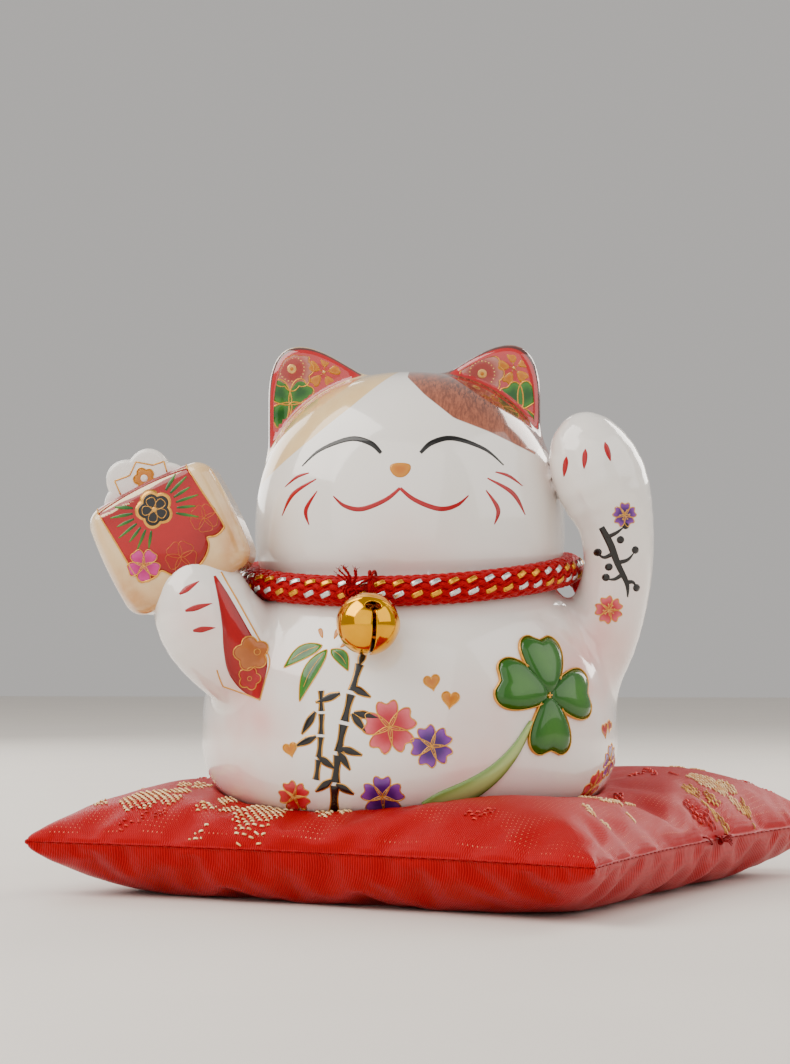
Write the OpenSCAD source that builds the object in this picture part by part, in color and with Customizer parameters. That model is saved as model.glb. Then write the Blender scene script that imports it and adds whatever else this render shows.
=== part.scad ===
// A beckoning cat of glazed ceramic, holding a lucky mallet and sitting on a square cushion.
// Millimetres, +Z up. The origin is the middle of the cushion's underside, and the cat faces -Y.

/* [Cushion] */
// Side of the square cushion, from seam to seam
cushion_side = 145; // [138:1:155]
// Turn of the cushion about +Z
cushion_turn = -24; // [-30:1:-12]
// Height of the seam above the table
seam_z = 12.5; // [11:0.5:14]
// Height of the plump top above the table
cushion_h = 26; // [24:0.5:29]
// How far the middle of each side pulls in
side_pull = 5; // [2:0.5:8]
// Thickness of a cover, with its backing
cloth_t = 0.6; // [0.4:0.1:0.8]

/* [Cat] */
// The cat's axis from the middle of the cushion, along X
cat_x = -7; // [-12:1:0]
// The cat's axis from the middle of the cushion, along Y
cat_y = -16; // [-20:1:-8]
// Height of the cat's foot above the table
seat_z = 19; // [17:0.5:20]
// Wall of the slip-cast ceramic
wall = 3.5; // [3:0.1:4]
// Half width of the torso
torso_w = 49.6; // [48:0.2:51]
// Half depth of the torso
torso_d = 45; // [43:0.5:46]
// Half width of the head
head_w = 37.2; // [36:0.2:38]
// Half depth of the head
head_d = 33; // [32:0.5:34]
// Height of the neck joint above the foot
neck_z = 54; // [53:0.5:55]
// Height of the top of the head above the foot
head_top = 104.8; // [103:0.2:107]
// Length of the coin slot in the back of the head
slot_len = 30; // [27:1:32]
// Height of the coin slot
slot_h = 4.6; // [4.4:0.1:5]

/* [Collar and bell] */
// Radius of the braided rope
rope_r = 3.6; // [3.2:0.1:3.8]
// Radius of the bell
bell_r = 7; // [6.5:0.1:7.2]
// Thickness of the bell's sheet brass
bell_t = 0.5; // [0.4:0.1:0.7]
// How far the bell's eye points up from level
eye_lift = 34; // [30:1:36]
// Radius of the pellet in the bell
pellet_r = 1.8; // [1.5:0.1:2]

/* [Mallet] */
// Half width of the mallet's block
mallet_w = 15.6; // [15:0.2:16]
// Half height of the mallet's block
mallet_h = 14; // [13:0.2:14.4]
// Half depth of the mallet's block
mallet_d = 10; // [9:0.5:11]
// Lean of the mallet
mallet_lean = 26; // [22:1:30]

/* [Stopper] */
// Radius of the stopper's plug
plug_r = 12; // [10:0.5:13]
// Gap round the plug in its hole
plug_gap = 0.05; // [0.03:0.01:0.08]

/* [Hidden] */

cat_at = [cat_x, cat_y, seat_z];
oval_n = 2.15;              // squareness of the torso and head, seen from above
fine = 40;                  // sides of a large oval
coarse = 28;                // sides of a hollow's oval

// Torso: an egg, widest low down, cut flat at the foot and the neck
torso_mid = 18;
torso_up = 46;
torso_down = 24;
floor_z = 6;                // top of the ceramic floor
recess_z = 2;               // hollow underneath, inside the foot ring
recess_r = 26;
foot_levels = [0, 1, 2.5, 5, 8, 12, 18];
torso_levels = concat(foot_levels, [24, 30, 36, 41, 46, 50, neck_z]);

// Head: a wide, low dome on the neck
head_mid = 66;
head_down = 19;
head_levels = [neck_z, 56, 59, 63, 68, 74, 80, 86, 91, 95, 98.5, 101, 103, 104.2, head_top - 0.2];
slot_z = 84;
slot_reach = 20;            // length of the cut that makes the slot
cat_reach = 200;            // more than the cat's largest size

// Collar ring, tipped down at the front and up at the raised arm
collar_w = 38;
collar_d = 36.8;
collar_z = 54.8;
collar_dip = 5;
collar_tip = 1.5;
collar_steps = 48;
knot_angle = 40;            // place of the back knot on the ring, from +X towards +Y

// Bell, in line with its eye and the middle of the rope
bell_x = -6;
bell_reach = 13.2;          // from the middle of the rope to the middle of the bell
eye_r = 1.2;
eye_wire_r = 0.4;
thread_r = 0.35;
thread_ring_r = 4.85;
thread_shift = 0.65;
slit_w = 0.9;
slit_hole_r = 1.15;
slit_end = 80;              // from the front of the bell to each end of the slit, in degrees

edge_t = 1;                 // half the thickness of the sewn edge
cushion_cells = 14;
seat_gap = 0.3;             // between the foot and the cover

glaze = "#f3efe9";
red = "#c4141c";
gold = "#d9a521";

mallet_at = [-54.4, -24, 64];

// Middle line and radius of each arm, from inside the body to the paw
raised_arm_line = [
    [33, -2, 25, 8], [38, -3, 30.5, 9.6], [43.2, -5, 38, 9.6], [47.2, -7.5, 47, 8.7], [49.7, -10, 58, 8.1],
    [48.9, -12.3, 69, 9], [45.6, -13.5, 78, 10.8], [42.8, -14, 84.5, 9], [41.4, -14, 89.6, 3.8]
];
mallet_arm_line = [
    [-24, -16, 27, 9], [-31, -20, 32, 11.6], [-38, -23.5, 38, 12.4], [-43.6, -25.5, 43.6, 12.2],
    [-46.2, -26, 48.6, 11.4], [-47.4, -26, 53, 8.8], [-48, -26, 56.6, 4.2]
];
tail_line = [
    [0, 38, 14, 7], [2, 43.5, 15.7, 7.2], [5, 47.5, 18.5, 6.6], [8, 49, 23, 5.6], [10, 48.5, 27, 3]
];

// ---- shape functions

// Half width of a rounded form at height u, where 0 is the middle and 1 the end
function bulge(u, n) = pow(max(0, 1 - pow(abs(u), n)), 1 / n);

function torso_share(z) =
    z >= torso_mid ? bulge((z - torso_mid) / torso_up, 2.2) : bulge((torso_mid - z) / torso_down, 2.6);

function head_share(z, top = head_top) =
    z >= head_mid ? bulge((z - head_mid) / (top - head_mid), 2.25) : bulge((head_mid - z) / head_down, 3);

function signed_pow(x, p) = sign(x) * pow(abs(x), p);

// A squarish oval ring of half sizes a and b at height z
function oval(a, b, z, sides, n = oval_n) = [
    for (i = [0:sides - 1])
        let (t = 360 * i / sides)
        [a * signed_pow(cos(t), 2 / n), b * signed_pow(sin(t), 2 / n), z]
];

function unit(v) = v / norm(v);

function curve_part(a, b, c, d, t) =
    0.5 * (2 * b + (c - a) * t + (2 * a - 5 * b + 4 * c - d) * t * t + (3 * b - a - 3 * c + d) * t * t * t);

// A smooth curve through the points, with steps pieces between two points
function smooth(line, steps) =
    let (last = len(line) - 1)
    concat(
        [for (k = [0:last - 1], s = [0:steps - 1])
            curve_part(line[max(k - 1, 0)], line[k], line[k + 1], line[min(k + 2, last)], s / steps)],
        [line[last]]
    );

function place(p) = [p[0], p[1], p[2]];

// Rings square to a line of [x, y, z, radius]; side is a direction that the line never takes
function tube_rings(line, sides, side = [0, 1, 0]) = [
    for (k = [0:len(line) - 1])
        let (
            ahead = unit(place(line[min(k + 1, len(line) - 1)]) - place(line[max(k - 1, 0)])),
            u = unit(cross(side, ahead)),
            v = cross(ahead, u)
        )
        [for (i = [0:sides - 1])
            let (t = 360 * i / sides)
            place(line[k]) + line[k][3] * (cos(t) * u + sin(t) * v)]
];

// Y of the torso's front at x across and z above the foot
function belly_y(x, z) =
    -torso_d * torso_share(z) * bulge(x / (torso_w * torso_share(z)), oval_n);

// A point of the tipped collar ring, at angle t from +X, for a ring of those half sizes
function collar_point(t, w = collar_w, d = collar_d) =
    let (x = w * signed_pow(cos(t), 2 / oval_n), y = d * signed_pow(sin(t), 2 / oval_n))
    [x, y * cos(collar_dip), collar_z + y * sin(collar_dip) + x * sin(collar_tip)];

rope_front_y = -collar_d * bulge(bell_x / collar_w, oval_n);
rope_front = [
    bell_x, rope_front_y * cos(collar_dip), collar_z + rope_front_y * sin(collar_dip) + bell_x * sin(collar_tip)
];
eye_dir = [0, cos(eye_lift), sin(eye_lift)];
bell_at = rope_front - bell_reach * eye_dir;
eye_reach = bell_r + 0.7;

// ---- building blocks

// Skin over rings that all have the same number of points
module loft(rings) {
    n = len(rings[0]);
    last = len(rings) - 1;
    polyhedron(
        [for (ring = rings) each ring],
        concat(
            [[for (i = [0:n - 1]) i], [for (i = [n - 1:-1:0]) last * n + i]],
            [for (k = [0:last - 1], i = [0:n - 1]) let (j = (i + 1) % n) each [
                [k * n + i, (k + 1) * n + i, (k + 1) * n + j],
                [k * n + i, (k + 1) * n + j, k * n + j]
            ]]
        )
    );
}

// A closed ring of equal rings, as a rope that meets itself
module closed_loft(rings) {
    n = len(rings[0]);
    m = len(rings);
    polyhedron(
        [for (ring = rings) each ring],
        [for (k = [0:m - 1], i = [0:n - 1]) let (j = (i + 1) % n, q = (k + 1) % m) each [
            [k * n + i, q * n + i, q * n + j],
            [k * n + i, q * n + j, k * n + j]
        ]]
    );
}

module on_cat() {
    translate(cat_at) children();
}

module rod(a, b, r) {
    v = b - a;
    translate(a) rotate([0, acos(v[2] / norm(v)), atan2(v[1], v[0])])
        cylinder(r = r, h = norm(v), $fn = 16);
}

// A ring of wire about Z
module wire_ring(ring_r, wire_r) {
    rotate_extrude($fn = 32) translate([ring_r, 0]) circle(wire_r, $fn = 16);
}

// The outside of the torso, grown by grow all round
module torso_form(levels, grow = 0) {
    loft([for (z = levels)
        oval(torso_w * torso_share(z) + grow, torso_d * torso_share(z) + grow, z - (z < torso_mid ? grow : 0), fine)]);
}

module torso_hollow() {
    levels = [floor_z, 9, 13, 18, 26, 34, 42, 49, neck_z + 1];
    loft([for (z = levels)
        oval(torso_w * torso_share(z) - wall, torso_d * torso_share(z) - wall, z, coarse)]);
}

module head_hollow() {
    top = head_top - wall;
    levels = [neck_z - 1, 58, 64, 71, 79, 87, 93, 97, 99.5, top - 0.2];
    loft([for (z = levels)
        oval((head_w - wall) * head_share(z, top), (head_d - wall) * head_share(z, top), z, coarse)]);
}

// A piece that is luted to the outside, cut away where it would stand inside the hollow
module luted() {
    on_cat() difference() {
        children();
        torso_hollow();
        head_hollow();
    }
}

// ---- ceramic pieces

module torso_shell() {
    color(glaze) on_cat() difference() {
        torso_form(torso_levels);
        torso_hollow();
        translate([0, 0, -1]) cylinder(r = recess_r, h = recess_z + 1, $fn = 64);
        cylinder(r = plug_r + plug_gap, h = floor_z + 1, $fn = 64);
    }
}

module head_shell() {
    color(glaze) on_cat() difference() {
        loft([for (z = head_levels) oval(head_w * head_share(z), head_d * head_share(z), z, fine)]);
        head_hollow();
        translate([0, head_d, slot_z]) {
            cube([slot_len - slot_h, slot_reach, slot_h], center = true);
            for (side = [-1, 1]) translate([side * (slot_len - slot_h) / 2, 0, 0]) rotate([90, 0, 0])
                cylinder(d = slot_h, h = slot_reach, center = true, $fn = 32);
        }
    }
}

// A rounded triangle that grows out of the head; side is -1 or 1
module ear(side) {
    color(glaze) luted() hull() {
        translate([side * 25, -2, 107.6]) sphere(3, $fn = 16);
        translate([side * 30.2, -3, 95.6]) sphere(3.8, $fn = 16);
        translate([side * 28.6, -1, 87]) sphere(4.2, $fn = 16);
        translate([side * 14.5, -2, 100.4]) sphere(4.2, $fn = 16);
        translate([side * 22, 3, 96]) sphere(6, $fn = 16);
    }
}

module left_ear() {
    ear(-1);
}

module right_ear() {
    ear(1);
}

module raised_arm() {
    color(glaze) luted() loft(tube_rings(smooth(raised_arm_line, 2), 20));
}

module mallet_arm() {
    color(glaze) luted() loft(tube_rings(smooth(mallet_arm_line, 2), 20));
}

module tail() {
    color(glaze) luted() loft(tube_rings(smooth(tail_line, 2), 14, [1, 0, 0]));
}

module at_mallet() {
    on_cat() translate(mallet_at) rotate([0, -mallet_lean, 0]) children();
}

module mallet_block() {
    depths = [-0.99, -0.93, -0.8, -0.5, 0, 0.5, 0.8, 0.93, 0.99];
    color("#efdcb8") at_mallet() rotate([90, 0, 0])
        loft([for (t = depths)
            oval(mallet_w * bulge(t, 3.2), mallet_h * bulge(t, 3.2), mallet_d * t, coarse, 4.6)]);
}

// A scalloped fan that stands on the block
module mallet_finial() {
    fan_r = 8;
    scallop = 1.6;
    lobes = 5;
    thick = 5;
    color(glaze) at_mallet() translate([0, thick / 2, mallet_h - 2.5]) rotate([90, 0, 0])
        linear_extrude(height = thick)
            polygon([for (t = [-24:4:204]) (fan_r + scallop * abs(cos(t * (lobes + 1) / 2))) * [cos(t), sin(t)]]);
}

// One leaf, pointing along +X from the middle of the clover
module clover_leaf() {
    for (side = [-1, 1]) translate([9.2, side * 3.1]) circle(4.1, $fn = 24);
    polygon([[0.6, 0], [6.6, 6.3], [11, 0], [6.6, -6.3]]);
}

module clover_relief() {
    rise = 1.5;
    color("#466a2c") on_cat() intersection() {
        translate([33, -33, 28]) rotate([90, 0, 40]) linear_extrude(height = 30, center = true)
            for (turn = [12, 100, 192, 282]) rotate(turn) clover_leaf();
        difference() {
            torso_form(torso_levels, rise);
            torso_form(torso_levels);
            translate([0, cat_reach / 2, 0]) cube(cat_reach, center = true);
        }
    }
}

module clover_stem() {
    root = [29.5, 22.5];
    tip = [16, 9];
    line = [for (t = [0:0.1:1])
        let (x = root[0] + (tip[0] - root[0]) * t, z = root[1] + (tip[1] - root[1]) * pow(t, 0.7))
        [x, belly_y(x, z), z, 0.7 + 1.2 * sin(165 * t)]];
    color("#9cb46a") on_cat() loft(tube_rings(line, 10));
}

// ---- stopper

module base_stopper() {
    flange_t = 1.4;
    color("#e9e6df") on_cat() {
        translate([0, 0, recess_z]) cylinder(r = plug_r, h = floor_z - recess_z + 1, $fn = 64);
        translate([0, 0, recess_z - flange_t]) cylinder(r = plug_r + 2.5, h = flange_t, $fn = 64);
    }
}

// ---- collar

module collar_rope() {
    step = 360 / collar_steps;
    rings = [for (k = [0:collar_steps - 1])
        let (
            t = k * step,
            ahead = unit(collar_point(t + 1) - collar_point(t - 1)),
            out = unit(cross(ahead, [0, 0, 1])),
            up = cross(out, ahead)
        )
        [for (i = [0:9]) collar_point(t) + rope_r * (cos(36 * i) * up + sin(36 * i) * out)]];
    color(red) on_cat() closed_loft(rings);
}

module collar_back_knot() {
    at = collar_point(knot_angle);
    color(red) on_cat() translate(at + [2.6, 2.2, 0]) rotate([0, 0, knot_angle - 90])
        rotate([0, 90, 0]) wire_ring(3, 2.7);
}

module collar_rope_ends() {
    at = collar_point(knot_angle) + [4.2, 3.6, 0];
    ends = [
        [[0, 0, 0, 3], [4, -3, -1, 3], [7.4, -7, -3.6, 3.1], [8.4, -11, -6.6, 3.3]],
        [[0, 0, 0, 3], [-2, 5, -2, 3], [-5, 7.6, -6, 3.1], [-7, 7.6, -10.5, 3.3]]
    ];
    color(red) on_cat() translate(at)
        for (line = ends) loft(tube_rings(smooth(line, 2), 12, [0, 0, 1]));
}

module bell_tie_thread() {
    color(red) on_cat() translate(rope_front - thread_shift * eye_dir) rotate([0, 90, 0])
        wire_ring(thread_ring_r, thread_r);
}

module thread_knot() {
    color(red) on_cat() translate(rope_front + [-4.4, -rope_r - 0.6, -0.2]) rotate([0, 90, 20]) {
        wire_ring(1.1, 0.75);
        translate([0, 0, 1.2]) wire_ring(0.9, 0.7);
    }
}

module thread_ends() {
    base = rope_front + [-4.4, -rope_r - 0.6, 0.6];
    tips = [[-3.4, -0.6, 4.6], [-1.2, -1, 5.6], [1.4, -0.8, 5.2], [3.8, -0.6, 3.6]];
    color(red) on_cat() for (tip = tips) rod(base, base + tip, 0.25);
}

// ---- bell

module at_bell() {
    on_cat() translate(bell_at) rotate([eye_lift - 90, 0, 0]) children();
}

module bell_eye() {
    color(gold) at_bell() translate([0, 0, eye_reach]) rotate([90, 0, 0]) wire_ring(eye_r, eye_wire_r);
}

module half_ball(side) {
    difference() {
        sphere(bell_r, $fn = 64);
        sphere(bell_r - bell_t, $fn = 64);
        translate([0, 0, -side * bell_r]) cube(2 * bell_r, center = true);
    }
}

module bell_upper_shell() {
    color(gold) at_bell() half_ball(1);
}

// The half that faces forward: a slit across it, with a round hole at each end
module bell_lower_shell() {
    color(gold) at_bell() difference() {
        half_ball(-1);
        translate([0, 0, -bell_r]) cube([slit_w, 2 * bell_r * sin(slit_end), 2 * bell_r], center = true);
        for (side = [-1, 1]) rotate([180 + side * slit_end, 0, 0]) translate([0, 0, bell_r / 2])
            cylinder(r = slit_hole_r, h = bell_r, $fn = 24);
    }
}

module bell_pellet() {
    drop = bell_r - bell_t - pellet_r - 0.1;
    color("silver") on_cat() translate(bell_at - [0, 0, drop]) sphere(pellet_r, $fn = 32);
}

// ---- cushion

function plump(u, v) = pow((1 - pow(abs(u), 2.6)) * (1 - pow(abs(v), 2.6)), 0.42);

// Point of the upper (side 1) or lower (side -1) face, for u and v from -1 to 1
function pillow_point(u, v, side, inset) =
    let (
        half = cushion_side / 2 - inset,
        edge = edge_t - inset,
        rise = side > 0 ? cushion_h - seam_z - edge_t : -seam_z - 3,
        z = seam_z + side * edge + rise * plump(u, v)
    )
    [u * (half - side_pull * (1 - v * v)), v * (half - side_pull * (1 - u * u)), max(z, inset)];

// The whole cushion as a closed form, each face drawn in by inset
module pillow(inset) {
    n = cushion_cells;
    m = n + 1;
    base = m * m;
    share = [for (i = [0:n]) sin(90 * (2 * i / n - 1))];
    points = concat(
        [for (i = [0:n], j = [0:n]) pillow_point(share[i], share[j], 1, inset)],
        [for (i = [0:n], j = [0:n]) pillow_point(share[i], share[j], -1, inset)]
    );
    top = [for (i = [0:n - 1], j = [0:n - 1]) let (a = i * m + j) each [[a, a + 1, a + m + 1], [a, a + m + 1, a + m]]];
    rim = concat(
        [for (i = [0:n - 1]) i * m],
        [for (j = [0:n - 1]) n * m + j],
        [for (i = [n:-1:1]) i * m + n],
        [for (j = [n:-1:1]) j]
    );
    polyhedron(points, concat(
        top,
        [for (f = top) [base + f[2], base + f[1], base + f[0]]],
        [for (k = [0:len(rim) - 1]) let (a = rim[k], b = rim[(k + 1) % len(rim)]) each [
            [a, b, base + b], [a, base + b, base + a]
        ]]
    ));
}

module on_cushion() {
    rotate([0, 0, cushion_turn]) children();
}

// The hollow that the cat's foot presses into the cushion
module seat_dish(gap) {
    on_cat() torso_form(foot_levels, gap);
}

module stuffing() {
    difference() {
        on_cushion() pillow(cloth_t);
        seat_dish(seat_gap + cloth_t);
    }
}

module half_space(side) {
    translate([0, 0, seam_z + side * cushion_side / 2]) cube([2, 2, 1] * cushion_side, center = true);
}

module cushion_filling() {
    color("white") stuffing();
}

module cushion_top_cover() {
    color(red) difference() {
        on_cushion() pillow(0);
        seat_dish(seat_gap);
        stuffing();
        half_space(-1);
    }
}

module cushion_bottom_cover() {
    color(red) difference() {
        on_cushion() pillow(0);
        on_cushion() pillow(cloth_t);
        half_space(1);
    }
}

// The sewing thread that runs along the seam, just outside it
module seam_cord() {
    thread = 0.3;
    half = cushion_side / 2 + thread + 0.05;
    steps = 6;
    color("#9d0c12") on_cushion() for (turn = [0:90:270]) rotate([0, 0, turn])
        for (k = [-steps:steps - 1])
            let (
                v0 = (k + 0.15) / steps * 0.97,
                v1 = (k + 0.85) / steps * 0.97,
                a = [half - side_pull * (1 - v0 * v0), v0 * half, seam_z],
                b = [half - side_pull * (1 - v1 * v1), v1 * half, seam_z]
            )
            rod(a, b, thread);
}

// Hand stitches that close the opening the filling went in by, and their loose ends
module closing_stitches() {
    place_y = 10;
    color("#9d0c12") on_cushion() translate([cushion_side / 2 - side_pull + 1.6, place_y, seam_z]) {
        for (k = [-2:2]) rod([-1.2, 2 * k, 0.6], [0.2, 2 * k + 0.9, 0.9], 0.3);
        rod([0, 0, 0.8], [3, -1.5, 2.6], 0.25);
        rod([0, 0, 0.8], [2.6, 2, 3.4], 0.25);
    }
}

torso_shell();
head_shell();
left_ear();
right_ear();
raised_arm();
mallet_arm();
tail();
mallet_block();
mallet_finial();
clover_relief();
clover_stem();
base_stopper();
collar_rope();
collar_back_knot();
collar_rope_ends();
bell_tie_thread();
thread_knot();
thread_ends();
bell_eye();
bell_upper_shell();
bell_lower_shell();
bell_pellet();
cushion_filling();
cushion_top_cover();
cushion_bottom_cover();
seam_cord();
closing_stitches();
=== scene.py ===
"""The looks of the beckoning cat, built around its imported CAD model.

Shapes are worked out in millimetres in the cat's own frame, whose origin is the middle of the
cat's foot, and go to metres in the shared frame when a mesh is made.
"""

import math
import random

import bpy
import numpy as np
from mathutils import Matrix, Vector
from mathutils.bvhtree import BVHTree


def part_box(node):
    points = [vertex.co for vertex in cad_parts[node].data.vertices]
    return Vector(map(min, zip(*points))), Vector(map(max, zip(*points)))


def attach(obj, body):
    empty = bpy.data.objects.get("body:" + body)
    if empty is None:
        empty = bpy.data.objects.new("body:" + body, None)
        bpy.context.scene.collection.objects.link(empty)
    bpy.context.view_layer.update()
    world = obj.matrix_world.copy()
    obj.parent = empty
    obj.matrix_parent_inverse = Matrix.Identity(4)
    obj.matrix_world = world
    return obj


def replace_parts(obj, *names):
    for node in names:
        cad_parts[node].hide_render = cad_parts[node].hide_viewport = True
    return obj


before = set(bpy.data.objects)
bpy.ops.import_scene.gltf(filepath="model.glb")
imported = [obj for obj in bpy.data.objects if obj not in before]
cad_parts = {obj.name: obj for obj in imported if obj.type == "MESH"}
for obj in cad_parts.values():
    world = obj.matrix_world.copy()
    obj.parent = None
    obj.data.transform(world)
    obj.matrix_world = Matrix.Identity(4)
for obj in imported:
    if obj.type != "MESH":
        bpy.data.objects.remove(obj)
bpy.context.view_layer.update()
chance = random.Random(7)
MM = 0.001


# ---------------------------------------------------------------- the frame's places and sizes

def box_mm(*nodes):
    """Lowest and highest corner of one or more CAD nodes, in millimetres."""
    corners = [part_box(n) for n in nodes]
    low = np.min([np.array(c[0]) for c in corners], axis=0) / MM
    high = np.max([np.array(c[1]) for c in corners], axis=0) / MM
    return low, high


torso_low, torso_high = box_mm("torso_shell")
FOOT = np.array([(torso_low[0] + torso_high[0]) / 2, (torso_low[1] + torso_high[1]) / 2, torso_low[2]])
TORSO_W, TORSO_D = (torso_high - torso_low)[:2] / 2
head_low, head_high = box_mm("head_shell")
HEAD_W, HEAD_D = (head_high - head_low)[:2] / 2
HEAD_TOP = head_high[2] - FOOT[2] + 0.2

OVAL_N = 2.15
TORSO_MID, TORSO_UP, TORSO_DOWN = 18, 46, 24
HEAD_MID, HEAD_DOWN = 66, 19
WALL = 3.5
FLOOR_Z = 6
RECESS_R, RECESS_Z = 26, 2
PLUG_HOLE_R = 12.05
SLOT_Z, SLOT_LEN, SLOT_H = 84, 30, 4.6

# Middle line and radius of each limb: x, y, z, radius
RAISED_ARM = [
    (33, -2, 25, 8), (38, -3, 30.5, 9.6), (43.2, -5, 38, 9.6), (47.2, -7.5, 47, 8.7), (49.7, -10, 58, 8.1),
    (48.9, -12.3, 69, 9), (45.6, -13.5, 78, 10.8), (42.8, -14, 84.5, 9), (41.4, -14, 89.6, 3.8),
]
MALLET_ARM = [
    (-24, -16, 27, 9), (-31, -20, 32, 11.6), (-38, -23.5, 38, 12.4), (-43.6, -25.5, 43.6, 12.2),
    (-46.2, -26, 48.6, 11.4), (-47.4, -26, 53, 8.8), (-48, -26, 56.6, 4.2),
]
TAIL = [(0, 38, 14, 7), (2, 43.5, 15.7, 7.2), (5, 47.5, 18.5, 6.6), (8, 49, 23, 5.6), (10, 48.5, 27, 3)]

MALLET_AT = np.array([-54.4, -24, 64])
MALLET_LEAN = math.radians(26)
MALLET_HALF = np.array([16.2, 10, 14])
BLOCK_SHIFT = np.array([0.9, 0, -0.6])

ROPE_R = 3.6
COLLAR_W, COLLAR_D, COLLAR_Z = 38, 36.8, 54.8
COLLAR_DIP, COLLAR_TIP = math.radians(5), math.radians(1.5)
KNOT_ANGLE = 40
SIDE_RISE = 1.8


# ---------------------------------------------------------------- meshes and objects

def to_world(points):
    """Millimetres in the cat's frame to metres in the shared frame."""
    return (np.asarray(points, float) + FOOT) * MM


def add_mesh(name, points, faces, mat, body, attributes=None, world=False):
    """A smooth-shaded mesh that rides on a body; points are millimetres in the cat's frame."""
    mesh = bpy.data.meshes.new(name)
    spots = np.asarray(points, float) if world else to_world(points)
    mesh.from_pydata(spots.tolist(), [], [tuple(int(i) for i in f) for f in faces])
    for key, values in (attributes or {}).items():
        layer = mesh.attributes.new(key, "FLOAT", "POINT")
        layer.data.foreach_set("value", np.asarray(values, np.float32))
    mesh.validate()
    mesh.shade_smooth()
    mesh.materials.append(mat)
    piece = bpy.data.objects.new(name, mesh)
    bpy.context.scene.collection.objects.link(piece)
    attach(piece, body)
    return piece


def smooth_line(line, steps, closed=False):
    """A Catmull-Rom curve through the rows of line, with steps pieces between two rows."""
    rows = np.asarray(line, float)
    last = len(rows) - 1
    out = []
    for k in range(len(rows) if closed else last):
        if closed:
            a, b, c, d = (rows[(k + o) % len(rows)] for o in (-1, 0, 1, 2))
        else:
            a, b, c, d = rows[max(k - 1, 0)], rows[k], rows[k + 1], rows[min(k + 2, last)]
        for s in range(steps):
            t = s / steps
            out.append(0.5 * (2 * b + (c - a) * t + (2 * a - 5 * b + 4 * c - d) * t ** 2
                              + (3 * b - a - 3 * c + d) * t ** 3))
    if not closed:
        out.append(rows[last])
    return np.array(out)


def unit(v):
    return v / np.maximum(np.linalg.norm(v, axis=-1, keepdims=True), 1e-9)


def circle(count):
    """Evenly spaced angles once round."""
    return np.linspace(0, 2 * math.pi, count, endpoint=False)


def heading(path, closed=False):
    """The unit direction of travel at each point of a path."""
    if closed:
        return unit(np.roll(path, -1, 0) - np.roll(path, 1, 0))
    return unit(np.gradient(path, axis=0))


def distance_along(line):
    steps = np.linalg.norm(np.diff(line, axis=0), axis=1)
    return np.concatenate([[0], np.cumsum(steps)])


def trefoil(count, turn=0.0):
    """The three coordinates of a trefoil knot."""
    t = circle(count)
    return np.sin(t + turn) + 2 * np.sin(2 * t), np.cos(t + turn) - 2 * np.cos(2 * t), np.sin(3 * t)


def grid_faces(rows, cols, wrap_rows=False, wrap_cols=True, start=0):
    """The quads of a grid of points that are numbered row by row."""
    faces = []
    for i in range(rows if wrap_rows else rows - 1):
        k = (i + 1) % rows
        for j in range(cols if wrap_cols else cols - 1):
            m = (j + 1) % cols
            corners = (i * cols + j, i * cols + m, k * cols + m, k * cols + j)
            faces.append(tuple(start + c for c in corners))
    return faces


def tube_faces(count, sides, closed):
    """The faces of a tube of rings, with flat ends unless it is closed."""
    faces = grid_faces(count, sides, wrap_rows=closed)
    if not closed:
        faces.append(tuple(range(sides))[::-1])
        faces.append(tuple((count - 1) * sides + i for i in range(sides)))
    return faces


def frames(path, closed=False):
    """Two directions across a path, carried along it without twist."""
    ahead = heading(path, closed)
    out = np.empty_like(path)
    side = np.cross(ahead[0], [0.31, 0.17, 0.93])
    for k, forward in enumerate(ahead):
        side = side - forward * (side @ forward)
        side = side / np.linalg.norm(side)
        out[k] = side
    return out, np.cross(ahead, out)


def tube_rings(path, radii, sides, closed=False):
    """Rings of points round a path."""
    path = np.asarray(path, float)
    radii = np.broadcast_to(np.asarray(radii, float), len(path))[:, None, None]
    side, up = frames(path, closed)
    t = circle(sides)[:, None]
    return path[:, None] + radii * (np.cos(t) * side[:, None] + np.sin(t) * up[:, None])


class Gathered:
    """Many small shapes that become one mesh."""

    def __init__(self):
        self.points, self.faces, self.shade, self.across = [], [], [], []

    def add(self, points, faces, shade=0.0, across=0.0):
        start = len(self.points)
        points = np.asarray(points, float).reshape(-1, 3)
        self.points.extend(points)
        self.faces.extend(tuple(start + i for i in f) for f in faces)
        self.shade.extend(np.broadcast_to(np.asarray(shade, float), len(points)))
        self.across.extend(np.broadcast_to(np.asarray(across, float), len(points)))

    def tube(self, path, radii, sides=8, closed=False, shade=0.0):
        rings = tube_rings(path, radii, sides, closed)
        across = np.tile(np.linspace(0, 1, sides, endpoint=False), len(rings))
        self.add(rings, tube_faces(len(rings), sides, closed), shade, across)

    def build(self, name, mat, body):
        marks = {"shade": self.shade, "across": self.across}
        return add_mesh(name, self.points, self.faces, mat, body, marks)


# ---------------------------------------------------------------- fields: below zero is inside

def smooth_min(a, b, k):
    h = np.clip(0.5 + 0.5 * (b - a) / k, 0, 1)
    return b * (1 - h) + a * h - k * h * (1 - h)


def smooth_max(a, b, k):
    return -smooth_min(-a, -b, k)


def ramp(x, low, high):
    t = np.clip((x - low) / (high - low), 0, 1)
    return t * t * (3 - 2 * t)


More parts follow.
